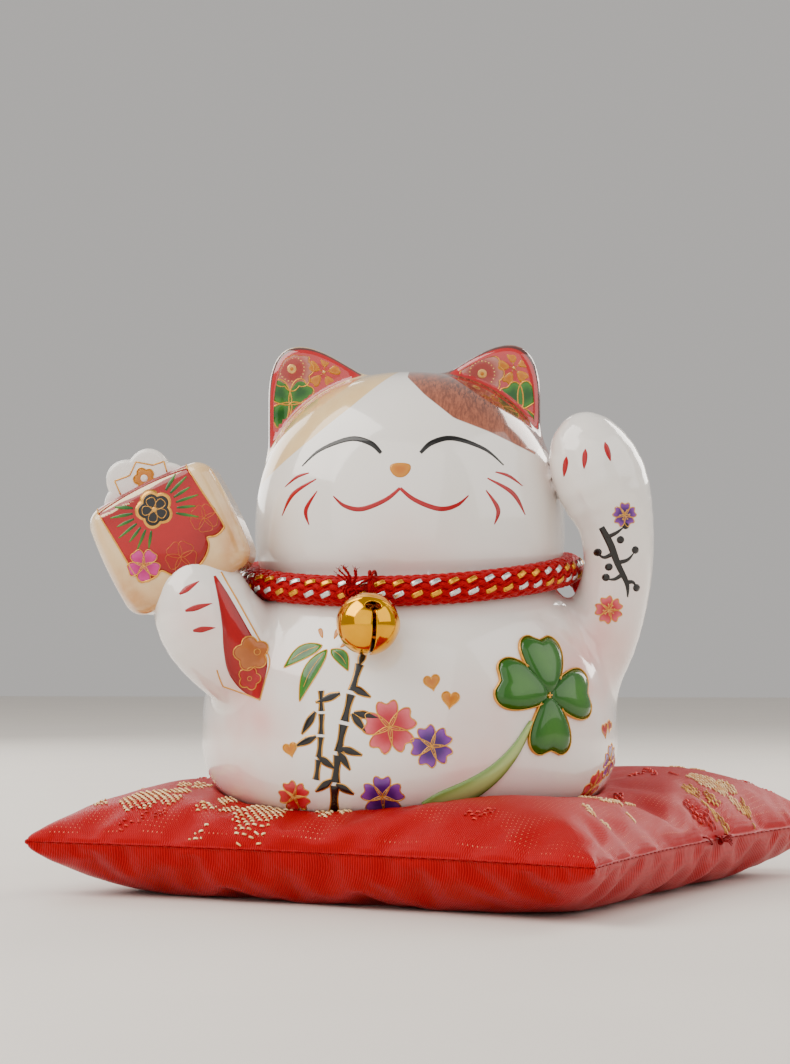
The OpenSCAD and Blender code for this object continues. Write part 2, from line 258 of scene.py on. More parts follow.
def egg(p, width, depth, middle, up, down, up_n, down_n):
    """Close to the distance from an egg with a squarish oval section."""
    x, y, z = np.abs(p[:, 0]) / width, np.abs(p[:, 1]) / depth, p[:, 2] - middle
    r = np.maximum((x ** OVAL_N + y ** OVAL_N) ** (1 / OVAL_N), 1e-4)
    above = z >= 0
    height = np.where(above, up, down)
    power = np.where(above, up_n, down_n)
    s = np.abs(z) / height
    slope = power * r ** (power - OVAL_N)
    steep = np.sqrt((slope * x ** (OVAL_N - 1) / width) ** 2 + (slope * y ** (OVAL_N - 1) / depth) ** 2
                    + (power * s ** (power - 1) / height) ** 2)
    return (r ** power + s ** power - 1) / np.maximum(steep, 1e-3)


def limb(line, steps=3, margin=9):
    """The field of a round limb, worked out only near it."""
    rows = smooth_line(line, steps)
    low = (rows[:, :3] - rows[:, 3:]).min(0) - margin
    high = (rows[:, :3] + rows[:, 3:]).max(0) + margin

    def field(p):
        out = np.full(len(p), float(margin))
        near = np.all((p > low) & (p < high), axis=1)
        q = p[near]
        best = np.full(len(q), 1e9)
        for a, b in zip(rows[:-1], rows[1:]):
            ab = b[:3] - a[:3]
            t = np.clip((q - a[:3]) @ ab / (ab @ ab), 0, 1)
            reach = np.linalg.norm(q - (a[:3] + t[:, None] * ab), axis=1) - (a[3] + t * (b[3] - a[3]))
            best = np.minimum(best, reach)
        out[near] = np.minimum(best, margin)
        return out

    return field


raised_arm, mallet_arm, tail = limb(RAISED_ARM), limb(MALLET_ARM), limb(TAIL)


def torso(p):
    return egg(p, TORSO_W, TORSO_D, TORSO_MID, TORSO_UP, TORSO_DOWN, 2.2, 2.6)


def head(p):
    return egg(p, HEAD_W, HEAD_D, HEAD_MID, HEAD_TOP - HEAD_MID, HEAD_DOWN, 2.25, 3)


EAR_Y = -2.5
EAR_HALF_T = 3
EAR_SHIFT, EAR_REACH = 1.2, 32.6
EAR_SLOPE = math.radians(31)


def ear_outline(p):
    """Distance from the ear's outline, seen from the front; the two ears mirror each other."""
    x, z = np.abs(p[:, 0] + EAR_SHIFT), p[:, 2]
    inner = -(x - 19) * math.sin(EAR_SLOPE) + (z - 109.5) * math.cos(EAR_SLOPE)
    return smooth_max(smooth_max(inner, x - EAR_REACH, 17), 80 - z, 2)


def ear(p):
    """A rounded plate, hollowed a little in front and thicker behind towards the head."""
    out = np.full(len(p), 9.0)
    near = (p[:, 2] > 76) & (np.abs(p[:, 0]) > 3) & (np.abs(p[:, 1]) < 20)
    q = p[near]
    flat = ear_outline(q)
    cup = 0.7 * ramp(-flat, 1.2, 5)
    front = EAR_Y - EAR_HALF_T + cup - q[:, 1]
    back = q[:, 1] - (EAR_Y + EAR_HALF_T + 0.28 * np.clip(110 - q[:, 2], 0, 30))
    edge = 2.2
    a, b = flat + edge, np.maximum(front, back) + edge
    out[near] = np.minimum(np.maximum(a, b), 0) + np.hypot(np.maximum(a, 0), np.maximum(b, 0)) - edge
    return np.minimum(out, 9)


def eggs(p):
    return smooth_min(torso(p), head(p), 3)


def outside(p):
    """The whole outside of the glazed cat."""
    f = smooth_min(eggs(p), tail(p), 4)
    f = smooth_min(f, mallet_arm(p), 2.5)
    f = smooth_min(f, raised_arm(p), 0.9 + 3.4 * ramp(62 - p[:, 2], 0, 14))
    f = smooth_min(f, ear(p), 1.8)
    return smooth_max(f, -p[:, 2], 1.6)


def glazed(p):
    """The outside less the bank's hollow, the coin slot and the openings underneath."""
    hollow = smooth_max(eggs(p) + WALL, FLOOR_Z - p[:, 2], 2)
    f = smooth_max(outside(p), -hollow, 0.6)
    r = np.hypot(p[:, 0], p[:, 1])
    f = smooth_max(f, -smooth_max(r - RECESS_R, p[:, 2] - RECESS_Z, 0.8), 0.8)
    f = smooth_max(f, -np.maximum(r - PLUG_HOLE_R, p[:, 2] - FLOOR_Z - 2), 0.6)
    long = np.maximum(np.abs(p[:, 0]) - (SLOT_LEN - SLOT_H) / 2, 0)
    slot = np.maximum(np.hypot(long, p[:, 2] - SLOT_Z) - SLOT_H / 2, 18 - p[:, 1])
    return smooth_max(f, -slot, 1)


def in_mallet(p):
    """Points in the mallet's own frame, which leans about Y."""
    q = np.asarray(p, float) - MALLET_AT
    c, s = math.cos(MALLET_LEAN), math.sin(MALLET_LEAN)
    return np.stack([q[:, 0] * c + q[:, 2] * s, q[:, 1], -q[:, 0] * s + q[:, 2] * c], axis=1)


def from_mallet(q):
    """Points of the mallet's own frame in the cat's frame."""
    q = np.asarray(q, float)
    c, s = math.cos(MALLET_LEAN), math.sin(MALLET_LEAN)
    return np.stack([q[:, 0] * c - q[:, 2] * s, q[:, 1], q[:, 0] * s + q[:, 2] * c], axis=1) + MALLET_AT


def mallet(p):
    """A rounded block whose faces swell a little."""
    q = np.abs(in_mallet(p) - BLOCK_SHIFT)
    swell = MALLET_HALF - 0.9 * np.stack([(q[:, 2] / 14) ** 2, (q[:, 0] / 15) ** 2 + (q[:, 2] / 14) ** 2,
                                          (q[:, 0] / 15) ** 2], axis=1)
    edge = 3.4
    d = q - swell + edge
    return np.minimum(d.max(1), 0) + np.linalg.norm(np.maximum(d, 0), axis=1) - edge


FIN_R, FIN_SCALLOP, FIN_LOBES, FIN_T = 9.1, 1.7, 5, 5


def finial(p):
    """A scalloped fan that stands on the block."""
    q = in_mallet(p) - [0, 0, MALLET_HALF[2] - 2.5]
    angle = np.arctan2(q[:, 2], q[:, 0])
    rim = FIN_R - 0.2 + FIN_SCALLOP * np.abs(np.cos(angle * (FIN_LOBES + 1) / 2))
    flat = np.hypot(q[:, 0], q[:, 2]) - rim
    edge = 1.2
    a, b = flat + edge, np.abs(q[:, 1]) - FIN_T / 2 + edge
    body = np.minimum(np.maximum(a, b), 0) + np.hypot(np.maximum(a, 0), np.maximum(b, 0)) - edge
    return smooth_max(body * 0.8, -2.5 - q[:, 2], 0.5)


def gradient(field, p, step=0.05):
    parts = []
    for axis in np.eye(3) * step:
        parts.append((field(p + axis) - field(p - axis)) / (2 * step))
    return np.stack(parts, axis=1)


def skin(field, low, high, cell):
    """The surface of a field as quads, found cell by cell and then drawn onto the surface."""
    low, high = np.asarray(low, float), np.asarray(high, float)
    shape = np.ceil((high - low) / cell).astype(int) + 1
    axes = [low[a] + cell * np.arange(shape[a]) for a in range(3)]
    values = np.empty(shape, np.float32)
    for k, z in enumerate(axes[2]):
        x, y = np.meshgrid(axes[0], axes[1], indexing="ij")
        spots = np.stack([x.ravel(), y.ravel(), np.full(x.size, z)], axis=1)
        values[:, :, k] = field(spots).reshape(x.shape)
    inside = values < 0
    cells = tuple(shape - 1)
    total, count = np.zeros(cells + (3,)), np.zeros(cells)
    crossings = []
    for a in range(3):
        first = [slice(None)] * 3
        second = [slice(None)] * 3
        first[a], second[a] = slice(0, -1), slice(1, None)
        f0, f1 = values[tuple(first)], values[tuple(second)]
        cut = inside[tuple(first)] != inside[tuple(second)]
        spots = np.argwhere(cut)
        share = f0[cut] / (f0[cut] - f1[cut])
        place = spots.astype(float)
        place[:, a] += share
        b, c = [i for i in range(3) if i != a]
        for db in (0, -1):
            for dc in (0, -1):
                at = spots.copy()
                at[:, b] += db
                at[:, c] += dc
                ok = np.all((at >= 0) & (at < cells), axis=1)
                np.add.at(total, tuple(at[ok].T), place[ok])
                np.add.at(count, tuple(at[ok].T), 1)
        crossings.append((a, spots, inside[tuple(first)][cut]))
    used = count > 0
    index = np.full(cells, -1)
    index[used] = np.arange(used.sum())
    points = low + cell * total[used] / count[used][:, None]
    faces = []
    for a, spots, starts_inside in crossings:
        b, c = (a + 1) % 3, (a + 2) % 3
        corners = []
        for db, dc in ((0, 0), (-1, 0), (-1, -1), (0, -1)):
            at = spots.copy()
            at[:, b] += db
            at[:, c] += dc
            corners.append(index[tuple(np.clip(at, 0, np.array(cells) - 1).T)])
        quads = np.stack(corners, axis=1)
        faces.append(np.where(starts_inside[:, None], quads, quads[:, ::-1]))
    faces = np.concatenate(faces)
    for _ in range(3):
        slope = gradient(field, points)
        reach = field(points) / np.maximum((slope ** 2).sum(1), 0.2)
        points = points - np.clip(reach, -cell / 2, cell / 2)[:, None] * slope
    return points, faces


def trace(field, start, ahead, steps=70):
    """Where lines from start along ahead first meet the field's surface."""
    p = np.array(start, float)
    for _ in range(steps):
        p = p + ahead * np.clip(field(p), -1, 6)[:, None] * 0.85
    return p


def on_field(field):
    """Finds where lines meet a field's surface, and its normals there."""

    def meet(start, ahead):
        hit = trace(field, start, ahead)
        return hit, unit(gradient(field, hit))

    return meet


LONGEST_DROP = 80


def on_mesh(points, faces):
    """Finds where lines meet a mesh, and its rounded normals there."""
    points, corners = np.asarray(points, float), np.array([f[:4] for f in faces])
    a, b, c, d = (points[corners[:, k]] for k in range(4))
    flat = np.cross(c - a, d - b)
    normals = np.zeros_like(points)
    for k in range(4):
        np.add.at(normals, corners[:, k], flat)
    normals = unit(normals)
    tree = BVHTree.FromPolygons(points.tolist(), [tuple(int(i) for i in f) for f in corners])

    def meet(start, ahead):
        hits, slopes = np.array(start, float), np.empty((len(start), 3))
        for k, spot in enumerate(start):
            at, _, face, _ = tree.ray_cast(Vector(spot), Vector(ahead), LONGEST_DROP)
            if at is None:
                at, _, face, _ = tree.find_nearest(Vector(spot))
            hits[k] = at
            ring = corners[face]
            share = 1 / (np.linalg.norm(points[ring] - hits[k], axis=1) + 0.02) ** 2
            slope = share @ normals[ring]
            slopes[k] = slope if slope @ ahead < 0 else -slope
        return hits, unit(slopes)

    return meet


DROP_FROM = 14  # height over a canvas at which its spots start towards the surface


class Canvas:
    """A stretch of surface to draw on: right and up in millimetres from a middle, seen along the view."""

    def __init__(self, surface, middle, out, up=(0, 0, 1), turn=0.0, keep=None):
        self.surface, self.keep = surface, keep
        self.middle = np.asarray(middle, float)
        self.out = unit(np.asarray(out, float))
        right = unit(np.cross(np.asarray(up, float), self.out))
        above = np.cross(self.out, right)
        c, s = math.cos(math.radians(turn)), math.sin(math.radians(turn))
        self.right, self.up = right * c + above * s, above * c - right * s

    def drop(self, spots):
        """Points on the surface and their normals."""
        spots = np.asarray(spots, float).reshape(-1, 2)
        if self.keep:
            spots = self.keep(spots)
        start = self.middle + spots[:, :1] * self.right + spots[:, 1:] * self.up
        return self.surface(start + DROP_FROM * self.out, -self.out)


UNDER = 0.15  # how far drawn plates reach below the surface

# Across a brushed line: place as a share of its width, and height as a share of its lift (none: underside)
STROKE_SECTION = ((-0.5, None), (-0.5, 0.3), (-0.28, 0.85), (0, 1), (0.28, 0.85), (0.5, 0.3), (0.5, None))


class Paint:
    """The layers of decoration on one part of the cat, one mesh for each colour."""

    def __init__(self):
        self.layers = {}

    def layer(self, name):
        return self.layers.setdefault(name, Gathered())

    def patch(self, name, canvas, outline, middle=(0, 0), lift=0.08, rings=6, dome=0.0, tone=None):
        """A closed shape with a middle that sees its whole outline, as a thin plate on the surface."""
        outline, middle = np.asarray(outline, float), np.asarray(middle, float)
        n = len(outline)
        shares = np.arange(1, rings + 1) / rings
        spots = np.concatenate([[middle]] + [middle + f * (outline - middle) for f in shares])
        hit, normal = canvas.drop(spots)
        f = np.concatenate([[0], np.repeat(shares, n)])
        rise = lift * (1 - 0.75 * f ** 8) + dome * np.sqrt(np.maximum(1 - f ** 2.4, 0))
        top = hit + normal * rise[:, None]
        under = hit[-n:] - normal[-n:] * UNDER
        floor = (hit[0] - normal[0] * UNDER)[None]
        faces = [(0, 1 + i, 1 + (i + 1) % n) for i in range(n)]
        faces += [(b, a, d, c) for a, b, c, d in grid_faces(rings, n, start=1)]
        rim = 1 + (rings - 1) * n
        low = 1 + rings * n
        faces += [(rim + i, low + i, low + (i + 1) % n, rim + (i + 1) % n) for i in range(n)]
        faces += [(low + n, low + (i + 1) % n, low + i) for i in range(n)]
        shade = tone(spots) if tone else f
        shade = np.concatenate([shade, shade[-n:], shade[:1]])
        self.layer(name).add(np.concatenate([top, under, floor]), faces, shade)

    def stroke(self, name, canvas, path, width, lift=0.08, steps=6, closed=False):
        """A brushed or piped line; width is one number, or one for each point of path."""
        path = np.asarray(path, float)
        widths = np.broadcast_to(np.asarray(width, float), len(path))
        rows = smooth_line(np.column_stack([path, widths]), steps, closed)
        line, w = rows[:, :2], np.maximum(rows[:, 2], 0.02)
        side = heading(line, closed)[:, ::-1] * [-1, 1]
        cols = []
        for share, high in STROKE_SECTION:
            hit, normal = canvas.drop(line + side * (share * w)[:, None])
            cols.append(hit + normal * (high * lift if high else -UNDER))
        n, sides = len(line), len(STROKE_SECTION)
        faces = [f[::-1] for f in tube_faces(n, sides, closed)]
        share = np.repeat(np.linspace(0, 1, n), sides)
        self.layer(name).add(np.stack(cols, axis=1), faces, share)

    def band(self, name, canvas, left, right, lift=0.08, cols=8, steps=5):
        """A plate between two edges that run side by side."""
        left, right = smooth_line(left, steps), smooth_line(right, steps)
        n = len(left)
        shares = np.linspace(0, 1, cols)
        rise = lift * np.sin(math.pi * np.clip(shares, 0.06, 0.94)) ** 0.35
        tops, unders = [], []
        for share, high in zip(shares, rise):
            hit, normal = canvas.drop(left + share * (right - left))
            tops.append(hit + normal * high)
            unders.append(hit - normal * UNDER)
        points = np.stack([np.stack(tops, axis=1), np.stack(unders, axis=1)])
        m = n * cols
        faces = grid_faces(n, cols, wrap_cols=False)
        faces += [tuple(m + i for i in f[::-1]) for f in faces]
        rim = [i * cols for i in range(n)] + [(n - 1) * cols + j for j in range(1, cols)]
        rim += [i * cols + cols - 1 for i in range(n - 2, -1, -1)] + list(range(cols - 2, 0, -1))
        faces += [(a, b, m + b, m + a) for a, b in zip(rim, rim[1:] + rim[:1])]
        shade = np.tile(np.abs(2 * shares - 1), 2 * n)
        self.layer(name).add(points, faces, shade)

    def dot(self, name, canvas, radius, at, points, lift, rings):
        """A round patch."""
        self.patch(name, canvas, ring_outline(radius, at, points), at, lift, rings)

    def finish(self, looks, prefix):
        """Turns each layer into one piece."""
        for name, shapes in self.layers.items():
            mat, slot = looks[name]
            shapes.build(f"{prefix}_{name}", mat, "cat")


def turned(spots, degrees, shift=(0, 0)):
    """Flat spots turned round the origin and then moved."""
    t = math.radians(degrees)
    spots = np.asarray(spots, float)
    x = spots[:, 0] * math.cos(t) - spots[:, 1] * math.sin(t) + shift[0]
    y = spots[:, 0] * math.sin(t) + spots[:, 1] * math.cos(t) + shift[1]
    return np.stack([x, y], axis=1)


def spoke(at, length, degrees):
    """The end of a spoke that points up before it is turned."""
    return turned([[0, length]], degrees, at)[0]


def leaf_outline(length, width, notch=0.12, points=28, sharp=1.0):
    """A heart-shaped leaf or petal that starts at the origin and points up."""
    t = np.linspace(0, math.pi, points // 2 + 1)
    high = length * (1 - np.cos(t)) / 2
    wide = width / 2 * np.sin(t) ** (0.75 * sharp) * (0.55 + 0.9 * (high / length)) / 1.12
    dent = notch * length * np.exp(-(wide / (0.17 * width)) ** 2) * (high > 0.6 * length)
    right = np.stack([wide, high - dent], axis=1)
    left = right[-2:0:-1] * [-1, 1]
    return np.concatenate([right, left])


# ---------------------------------------------------------------- materials

def colour(red, green, blue):
    """A linear colour from 0 to 255 screen values."""
    def linear(v):
        v /= 255
        return v / 12.92 if v <= 0.04045 else ((v + 0.055) / 1.055) ** 2.4
    return linear(red), linear(green), linear(blue), 1


class Look:
    """A Principled material with short calls for its nodes."""

    def __init__(self, name, base, roughness=0.5, **sockets):
        self.mat = bpy.data.materials.new(name)
        self.mat.use_nodes = True
        self.tree = self.mat.node_tree
        self.shader = self.tree.nodes["Principled BSDF"]
        self.shader.inputs["Base Color"].default_value = base
        self.shader.inputs["Roughness"].default_value = roughness
        for key, value in sockets.items():
            self.shader.inputs[key.replace("_", " ")].default_value = value
        self.base = base
        self.place = self.node("ShaderNodeTexCoord").outputs["Object"]

    def node(self, kind, **settings):
        made = self.tree.nodes.new(kind)
        for key, value in settings.items():
            setattr(made, key, value)
        return made

    def link(self, source, target):
        self.tree.links.new(source, target)

    def put(self, socket, value):
        if isinstance(value, bpy.types.NodeSocket):
            self.link(value, socket)
        else:
            socket.default_value = value

    def math(self, operation, a, b=0.0, c=None):
        made = self.node("ShaderNodeMath", operation=operation)
        self.put(made.inputs[0], a)
        self.put(made.inputs[1], b)
        if c is not None:
            self.put(made.inputs[2], c)
        return made.outputs[0]

    def value(self, name):
        """A number stored on the mesh."""
        return self.node("ShaderNodeAttribute", attribute_name=name).outputs["Fac"]

    def smooth(self, x, low, high):
        made = self.node("ShaderNodeMapRange", interpolation_type="SMOOTHSTEP")
        self.put(made.inputs["Value"], x)
        self.put(made.inputs["From Min"], low)
        self.put(made.inputs["From Max"], high)
        return made.outputs["Result"]

    def times(self, a, b):
        return self.math("MULTIPLY", a, b)

    def plus(self, a, b):
        return self.math("ADD", a, b)

    def wave(self, source, period):
        """A sine from -1 to 1 that comes back with every period of the source."""
        return self.math("SINE", self.times(source, 2 * math.pi / period))

    def noise(self, size_mm, detail=3.0, rough=0.5, stretch=(1, 1, 1)):
        """Soft noise from 0 to 1 whose patches are about size_mm wide."""
        spread = self.node("ShaderNodeMapping")
        spread.inputs["Scale"].default_value = stretch
        self.link(self.place, spread.inputs["Vector"])
        made = self.node("ShaderNodeTexNoise")
        made.inputs["Scale"].default_value = 1 / (size_mm * MM)
        made.inputs["Detail"].default_value = detail
        made.inputs["Roughness"].default_value = rough
        self.link(spread.outputs["Vector"], made.inputs["Vector"])
        return made.outputs["Fac"]

    def mix(self, share, a, b):
        made = self.node("ShaderNodeMix", data_type="RGBA")
        self.put(made.inputs["Factor"], share)
        self.put(made.inputs["A"], a)
        self.put(made.inputs["B"], b)
        return made.outputs["Result"]

    def paint(self, value):
        self.put(self.shader.inputs["Base Color"], value)
        return self

    def rough(self, source, low, high):
        """Roughness from low to high as source goes from 0 to 1."""
        span = self.node("ShaderNodeMapRange")
        self.put(span.inputs["Value"], source)
        span.inputs["To Min"].default_value = low
        span.inputs["To Max"].default_value = high
        self.link(span.outputs["Result"], self.shader.inputs["Roughness"])
        return self

    def bump(self, height, depth_mm, strength=1.0):
        made = self.node("ShaderNodeBump")
        made.inputs["Strength"].default_value = strength
        made.inputs["Distance"].default_value = depth_mm * MM
        self.put(made.inputs["Height"], height)
        self.link(made.outputs["Normal"], self.shader.inputs["Normal"])
        return self


WHITE = colour(238, 234, 228)
CREAM = colour(236, 207, 160)
DEEP_RED = colour(150, 12, 22)
GOLD = colour(236, 182, 84)
SHEEN_RED = colour(255, 56, 56)
GLAZE = {"Coat_Weight": 1.0, "Coat_Roughness": 0.03, "Specular_IOR_Level": 0.5}


def glaze_look():
    """White glaze with painted pink shade and painted red reflection, a tan and a brown patch, red ear
    fronts and a rim of bare brown.
    """
    look = Look("white_glaze", WHITE, 0.16, **GLAZE)
    cloud = look.noise(26, 2)
    body = look.mix(cloud, colour(240, 237, 232), colour(231, 225, 217))
    # Painted pink shade: pinkish shading in creases and under the arms and the rope, and red reflected up
    # from the cushion near the base.
    pink_shade = look.times(look.value("pink_shade"), look.smooth(look.noise(18, 2), 0.2, 0.75))
    body = look.mix(pink_shade, body, colour(236, 150, 140))
    streak = look.noise(5, 3, 0.6, (1, 1, 0.25))
    tan = look.mix(streak, colour(238, 208, 152), colour(222, 180, 116))
    body = look.mix(look.smooth(look.value("tan"), 0.12, -0.12), body, tan)
    hair = look.noise(1.0, 4, 0.75, (1.6, 0.4, 0.35))
    brown = look.mix(look.smooth(hair, 0.35, 0.68), colour(70, 24, 14), colour(162, 88, 58))
    fade = look.smooth(look.value("brown"), -9, 0)
    brown = look.mix(look.times(fade, 0.3), brown, colour(180, 104, 74))
    body = look.mix(look.smooth(look.value("brown"), 0.12, -0.12), body, brown)
    ear_red = look.mix(look.noise(9, 2), colour(166, 3, 10), colour(186, 14, 22))
    body = look.mix(look.smooth(look.value("ear_rim"), 0.1, -0.1), body, colour(78, 34, 30))
    body = look.mix(look.smooth(look.value("ear_face"), 0.1, -0.1), body, ear_red)
    bare = look.mix(look.noise(1.2, 3), colour(214, 204, 190), colour(196, 184, 168))
    body = look.mix(look.value("unglazed"), body, bare)
    look.paint(body)
    dull = look.times(look.value("unglazed"), 3.0)
    look.rough(look.plus(look.times(look.noise(3, 3), 0.5), dull), 0.12, 0.26)
    return look.bump(look.noise(11, 2, 0.4), 0.10, 0.5).mat


def enamel_look(name, centre, edge, low=0.15, high=1.0):
    """Printed or painted colour under the glaze, from centre to edge, with a fine grain."""
    look = Look(name, centre, 0.2, Coat_Weight=0.6, Coat_Roughness=0.04, Specular_IOR_Level=0.2)
    tone = look.mix(look.smooth(look.value("shade"), low, high), centre, edge)
    darker = tuple(0.72 * v for v in centre[:3]) + (1,)
    look.paint(look.mix(look.times(look.noise(0.8, 3), 0.35), tone, darker))
    look.rough(look.noise(2, 2), 0.14, 0.26)
    return look.bump(look.noise(0.7, 2), 0.02, 0.4).mat


def gold_line_look(name, tone):
    """Liquid gold that was piped on and fired."""
    look = Look(name, tone, 0.3, Metallic=0.75, Specular_IOR_Level=0.5)
    look.paint(look.mix(look.noise(0.9, 3), tone, colour(196, 128, 48)))
    look.rough(look.noise(0.6, 3), 0.22, 0.42)
    return look.bump(look.noise(0.35, 2), 0.03, 0.5).mat


def mallet_look():
    """Cream glaze, darker tan towards the bottom and the ends, with a painted highlight that whitens the
    corners and the end towards the key light.
    """
    look = Look("cream_glaze", CREAM, 0.18, **GLAZE)
    warm = look.mix(look.noise(7, 3, 0.6), colour(240, 214, 168), colour(222, 182, 122))
    patchy = look.smooth(look.noise(5, 3), 0.1, 0.6)
    # Darker tan towards the bottom and the two ends of the block.
    low_end_tan = look.times(look.smooth(look.value("low_end_tan"), 0.25, 1.0), patchy)
    warm = look.mix(low_end_tan, warm, colour(198, 140, 78))
    # Painted highlight: whiter corners, and a whiter end on the side of the key light.
    look.paint(look.mix(look.smooth(look.value("painted_highlight"), 0.3, 1.0), warm, colour(240, 230, 214)))
    look.rough(look.noise(2, 3), 0.14, 0.28)
    return look.bump(look.noise(6, 2), 0.08, 0.5).mat


def yarn_look(name, light, dark, strands=5.0, bump_mm=0.12):
    """Silky yarn: fine threads that run along each strand."""
    look = Look(name, light, 0.5, Sheen_Weight=0.15, Sheen_Roughness=0.4, Sheen_Tint=SHEEN_RED,
                Specular_IOR_Level=0.4, Specular_Tint=SHEEN_RED)
    threads = look.wave(look.value("across"), 1 / strands)
    fleece = look.noise(0.35, 3, 0.6)
    share = look.math("MULTIPLY_ADD", threads, 0.22, look.times(fleece, 0.75))
    look.paint(look.mix(look.smooth(share, 0.05, 0.75), dark, light))
    look.rough(fleece, 0.42, 0.62)
    return look.bump(share, bump_mm, 0.7).mat


def foil_look(name, tone, dark):
    """Flat metallic yarn."""
    look = Look(name, tone, 0.25, Metallic=0.9)
    look.paint(look.mix(look.noise(0.5, 3), tone, dark))
    look.rough(look.noise(0.4, 3), 0.14, 0.38)
    return look.bump(look.noise(0.3, 2), 0.05, 0.6).mat


def brass_look():
    """Polished, gold-plated sheet with faint cloudy wear."""
    look = Look("gold_plate", colour(236, 182, 30), 0.08, Metallic=1.0)
    look.paint(look.mix(look.noise(4, 3), colour(240, 178, 0), colour(216, 144, 0)))
    look.rough(look.noise(1.5, 4, 0.7), 0.05, 0.16)
    return look.bump(look.noise(5, 2), 0.03, 0.3).mat


def steel_look():
    look = Look("pellet_steel", colour(176, 178, 182), 0.3, Metallic=1.0)
    look.rough(look.noise(0.5, 3), 0.2, 0.45)
    return look.bump(look.noise(0.3, 3), 0.02, 0.5).mat


def rubber_look():
    """Pale translucent stopper plastic with a moulded texture."""
    look = Look("stopper_rubber", colour(226, 222, 212), 0.55, Specular_IOR_Level=0.35)
    look.paint(look.mix(look.noise(3, 3), colour(232, 229, 220), colour(208, 202, 190)))
    look.rough(look.noise(0.6, 3), 0.45, 0.7)
    return look.bump(look.noise(0.4, 2), 0.05, 0.5).mat


# ---------------------------------------------------------------- the glazed cat

# Where the patches on the crown end, seen from the front: x, z
TAN_EDGE = [(-2.8, 103.4), (-12, 94.8), (-21.7, 86.9), (-30.8, 80.1)]
BROWN_EDGE = [(-1, 103.8), (5, 97.3), (11.9, 91.6), (20.1, 88.5), (29.2, 84.3)]

# Spots of painted pink shade in creases and of painted red reflection near the base: middle, reach, strength
PINK_SHADE_SPOTS = [
    ((41, -20, 33), 13, 1.0), ((-31, -31, 27), 10, 0.9), ((-34, -28, 9), 15, 0.7), ((20, -42, 12), 16, 0.5),
    ((46, -18, 52), 9, 0.5), ((0, -34, 60), 12, 0.25), ((38, -10, 83), 8, 0.35), ((-46, -36, 45), 7, 0.35),
    ((30, 20, 8), 18, 0.5), ((-30, 24, 8), 18, 0.5), ((6, 45, 12), 9, 0.5),
]


def side_of_edge(x, z, edge):
    """Signed height of each point over a line drawn from the crown down to one side."""
    xs, zs = np.array(edge, float).T
    order = np.argsort(xs)
    xs, zs = xs[order], zs[order]
    at = np.interp(x, xs, zs)
    slope = (zs[-1] - zs[0]) / (xs[-1] - xs[0])
    low_run = (zs[1] - zs[0]) / (xs[1] - xs[0])
    high_run = (zs[-1] - zs[-2]) / (xs[-1] - xs[-2])
    at = np.where(x < xs[0], zs[0] + low_run * (x - xs[0]), at)
    at = np.where(x > xs[-1], zs[-1] + high_run * (x - xs[-1]), at)
    return (at - z) / math.hypot(1, slope)


def glaze_marks(p):
    """Numbers on the glaze that its material turns into painted pink shade, patches and ear colours."""
    x, y, z = p.T
    # Painted pink shade, strongest at the middle of each spot.
    pink_shade = np.zeros(len(p))
    for middle, size, strength in PINK_SHADE_SPOTS:
        reach = np.linalg.norm(p - middle, axis=1) / size
        pink_shade += strength * np.exp(-reach ** 2)
    on_limb = np.minimum(raised_arm(p), mallet_arm(p))
    off_head = np.maximum(3 - on_limb, 0)
    tan = np.maximum(side_of_edge(x, z, TAN_EDGE), x + 0.6) + 9 * off_head
    brown = np.maximum(side_of_edge(x, z, BROWN_EDGE), 0.4 - x) + 9 * off_head
    lean = 0.35 * (z - 96)
    tan = np.maximum(tan, y - 16 - lean)
    brown = np.maximum(brown, y - 19 - lean)
    flat = ear_outline(p)
    proud = 0.35 - eggs(p)
    front = np.maximum(y - (EAR_Y - 0.2), proud)
    rim = np.maximum(np.maximum(flat + 0.12, front), 82 - z)
    face = np.maximum(np.maximum(flat + 0.5, front), 82 - z)
    under = np.maximum(ramp(1.2 - z, 0, 0.8), ramp(-eggs(p) - 1.2, 0, 0.8))
    return {"pink_shade": np.clip(pink_shade, 0, 1), "tan": tan, "brown": brown,
            "ear_rim": rim, "ear_face": face, "unglazed": under}


def make_glazed_cat(mat):
    """One skin for every form that is cast in white; gives back its surface to draw on."""
    nodes = ("torso_shell", "head_shell", "left_ear", "right_ear", "raised_arm", "mallet_arm", "tail")
    low, high = box_mm(*nodes)
    cell = 1.0
    points, faces = skin(glazed, low - FOOT - 4, high - FOOT + 4, cell)
    cat = add_mesh("glazed_cat", points, faces, mat, "cat", glaze_marks(points))
    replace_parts(cat, *nodes)
    return on_mesh(points, faces)


def make_mallet(mat, white):
    """The mallet's block and the fan on its top."""
    cell = 0.5
    reach = np.linalg.norm(MALLET_HALF) + 2
    points, faces = skin(mallet, MALLET_AT - reach, MALLET_AT + reach, cell)
    q = in_mallet(points) - BLOCK_SHIFT
    # Darker tan low and at the ends; painted highlight on the corners and on the lit end.
    low_end_tan = ramp(-q[:, 2], -4, 13) * 0.7 + ramp(np.abs(q[:, 0]), 8, 15) * 0.5
    painted_highlight = ramp(np.linalg.norm(q / MALLET_HALF, axis=1), 1.3, 1.62) + 0.6 * ramp(-q[:, 0], 12.5, 15.5)
    block = add_mesh("mallet_block_glazed", points, faces, mat, "cat", {"low_end_tan": low_end_tan, "painted_highlight": painted_highlight})
    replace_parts(block, "mallet_block")
    top = from_mallet([[0, 0, MALLET_HALF[2] + 3]])[0]
    points, faces = skin(finial, top - 13, top + 13, cell * 0.6)
    unmarked = np.full(len(points), 9.0)
    marks = {name: unmarked for name in ("tan", "brown", "ear_rim", "ear_face")}
    fan = add_mesh("mallet_fan", points, faces, white, "cat", marks)
    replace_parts(fan, "mallet_finial")


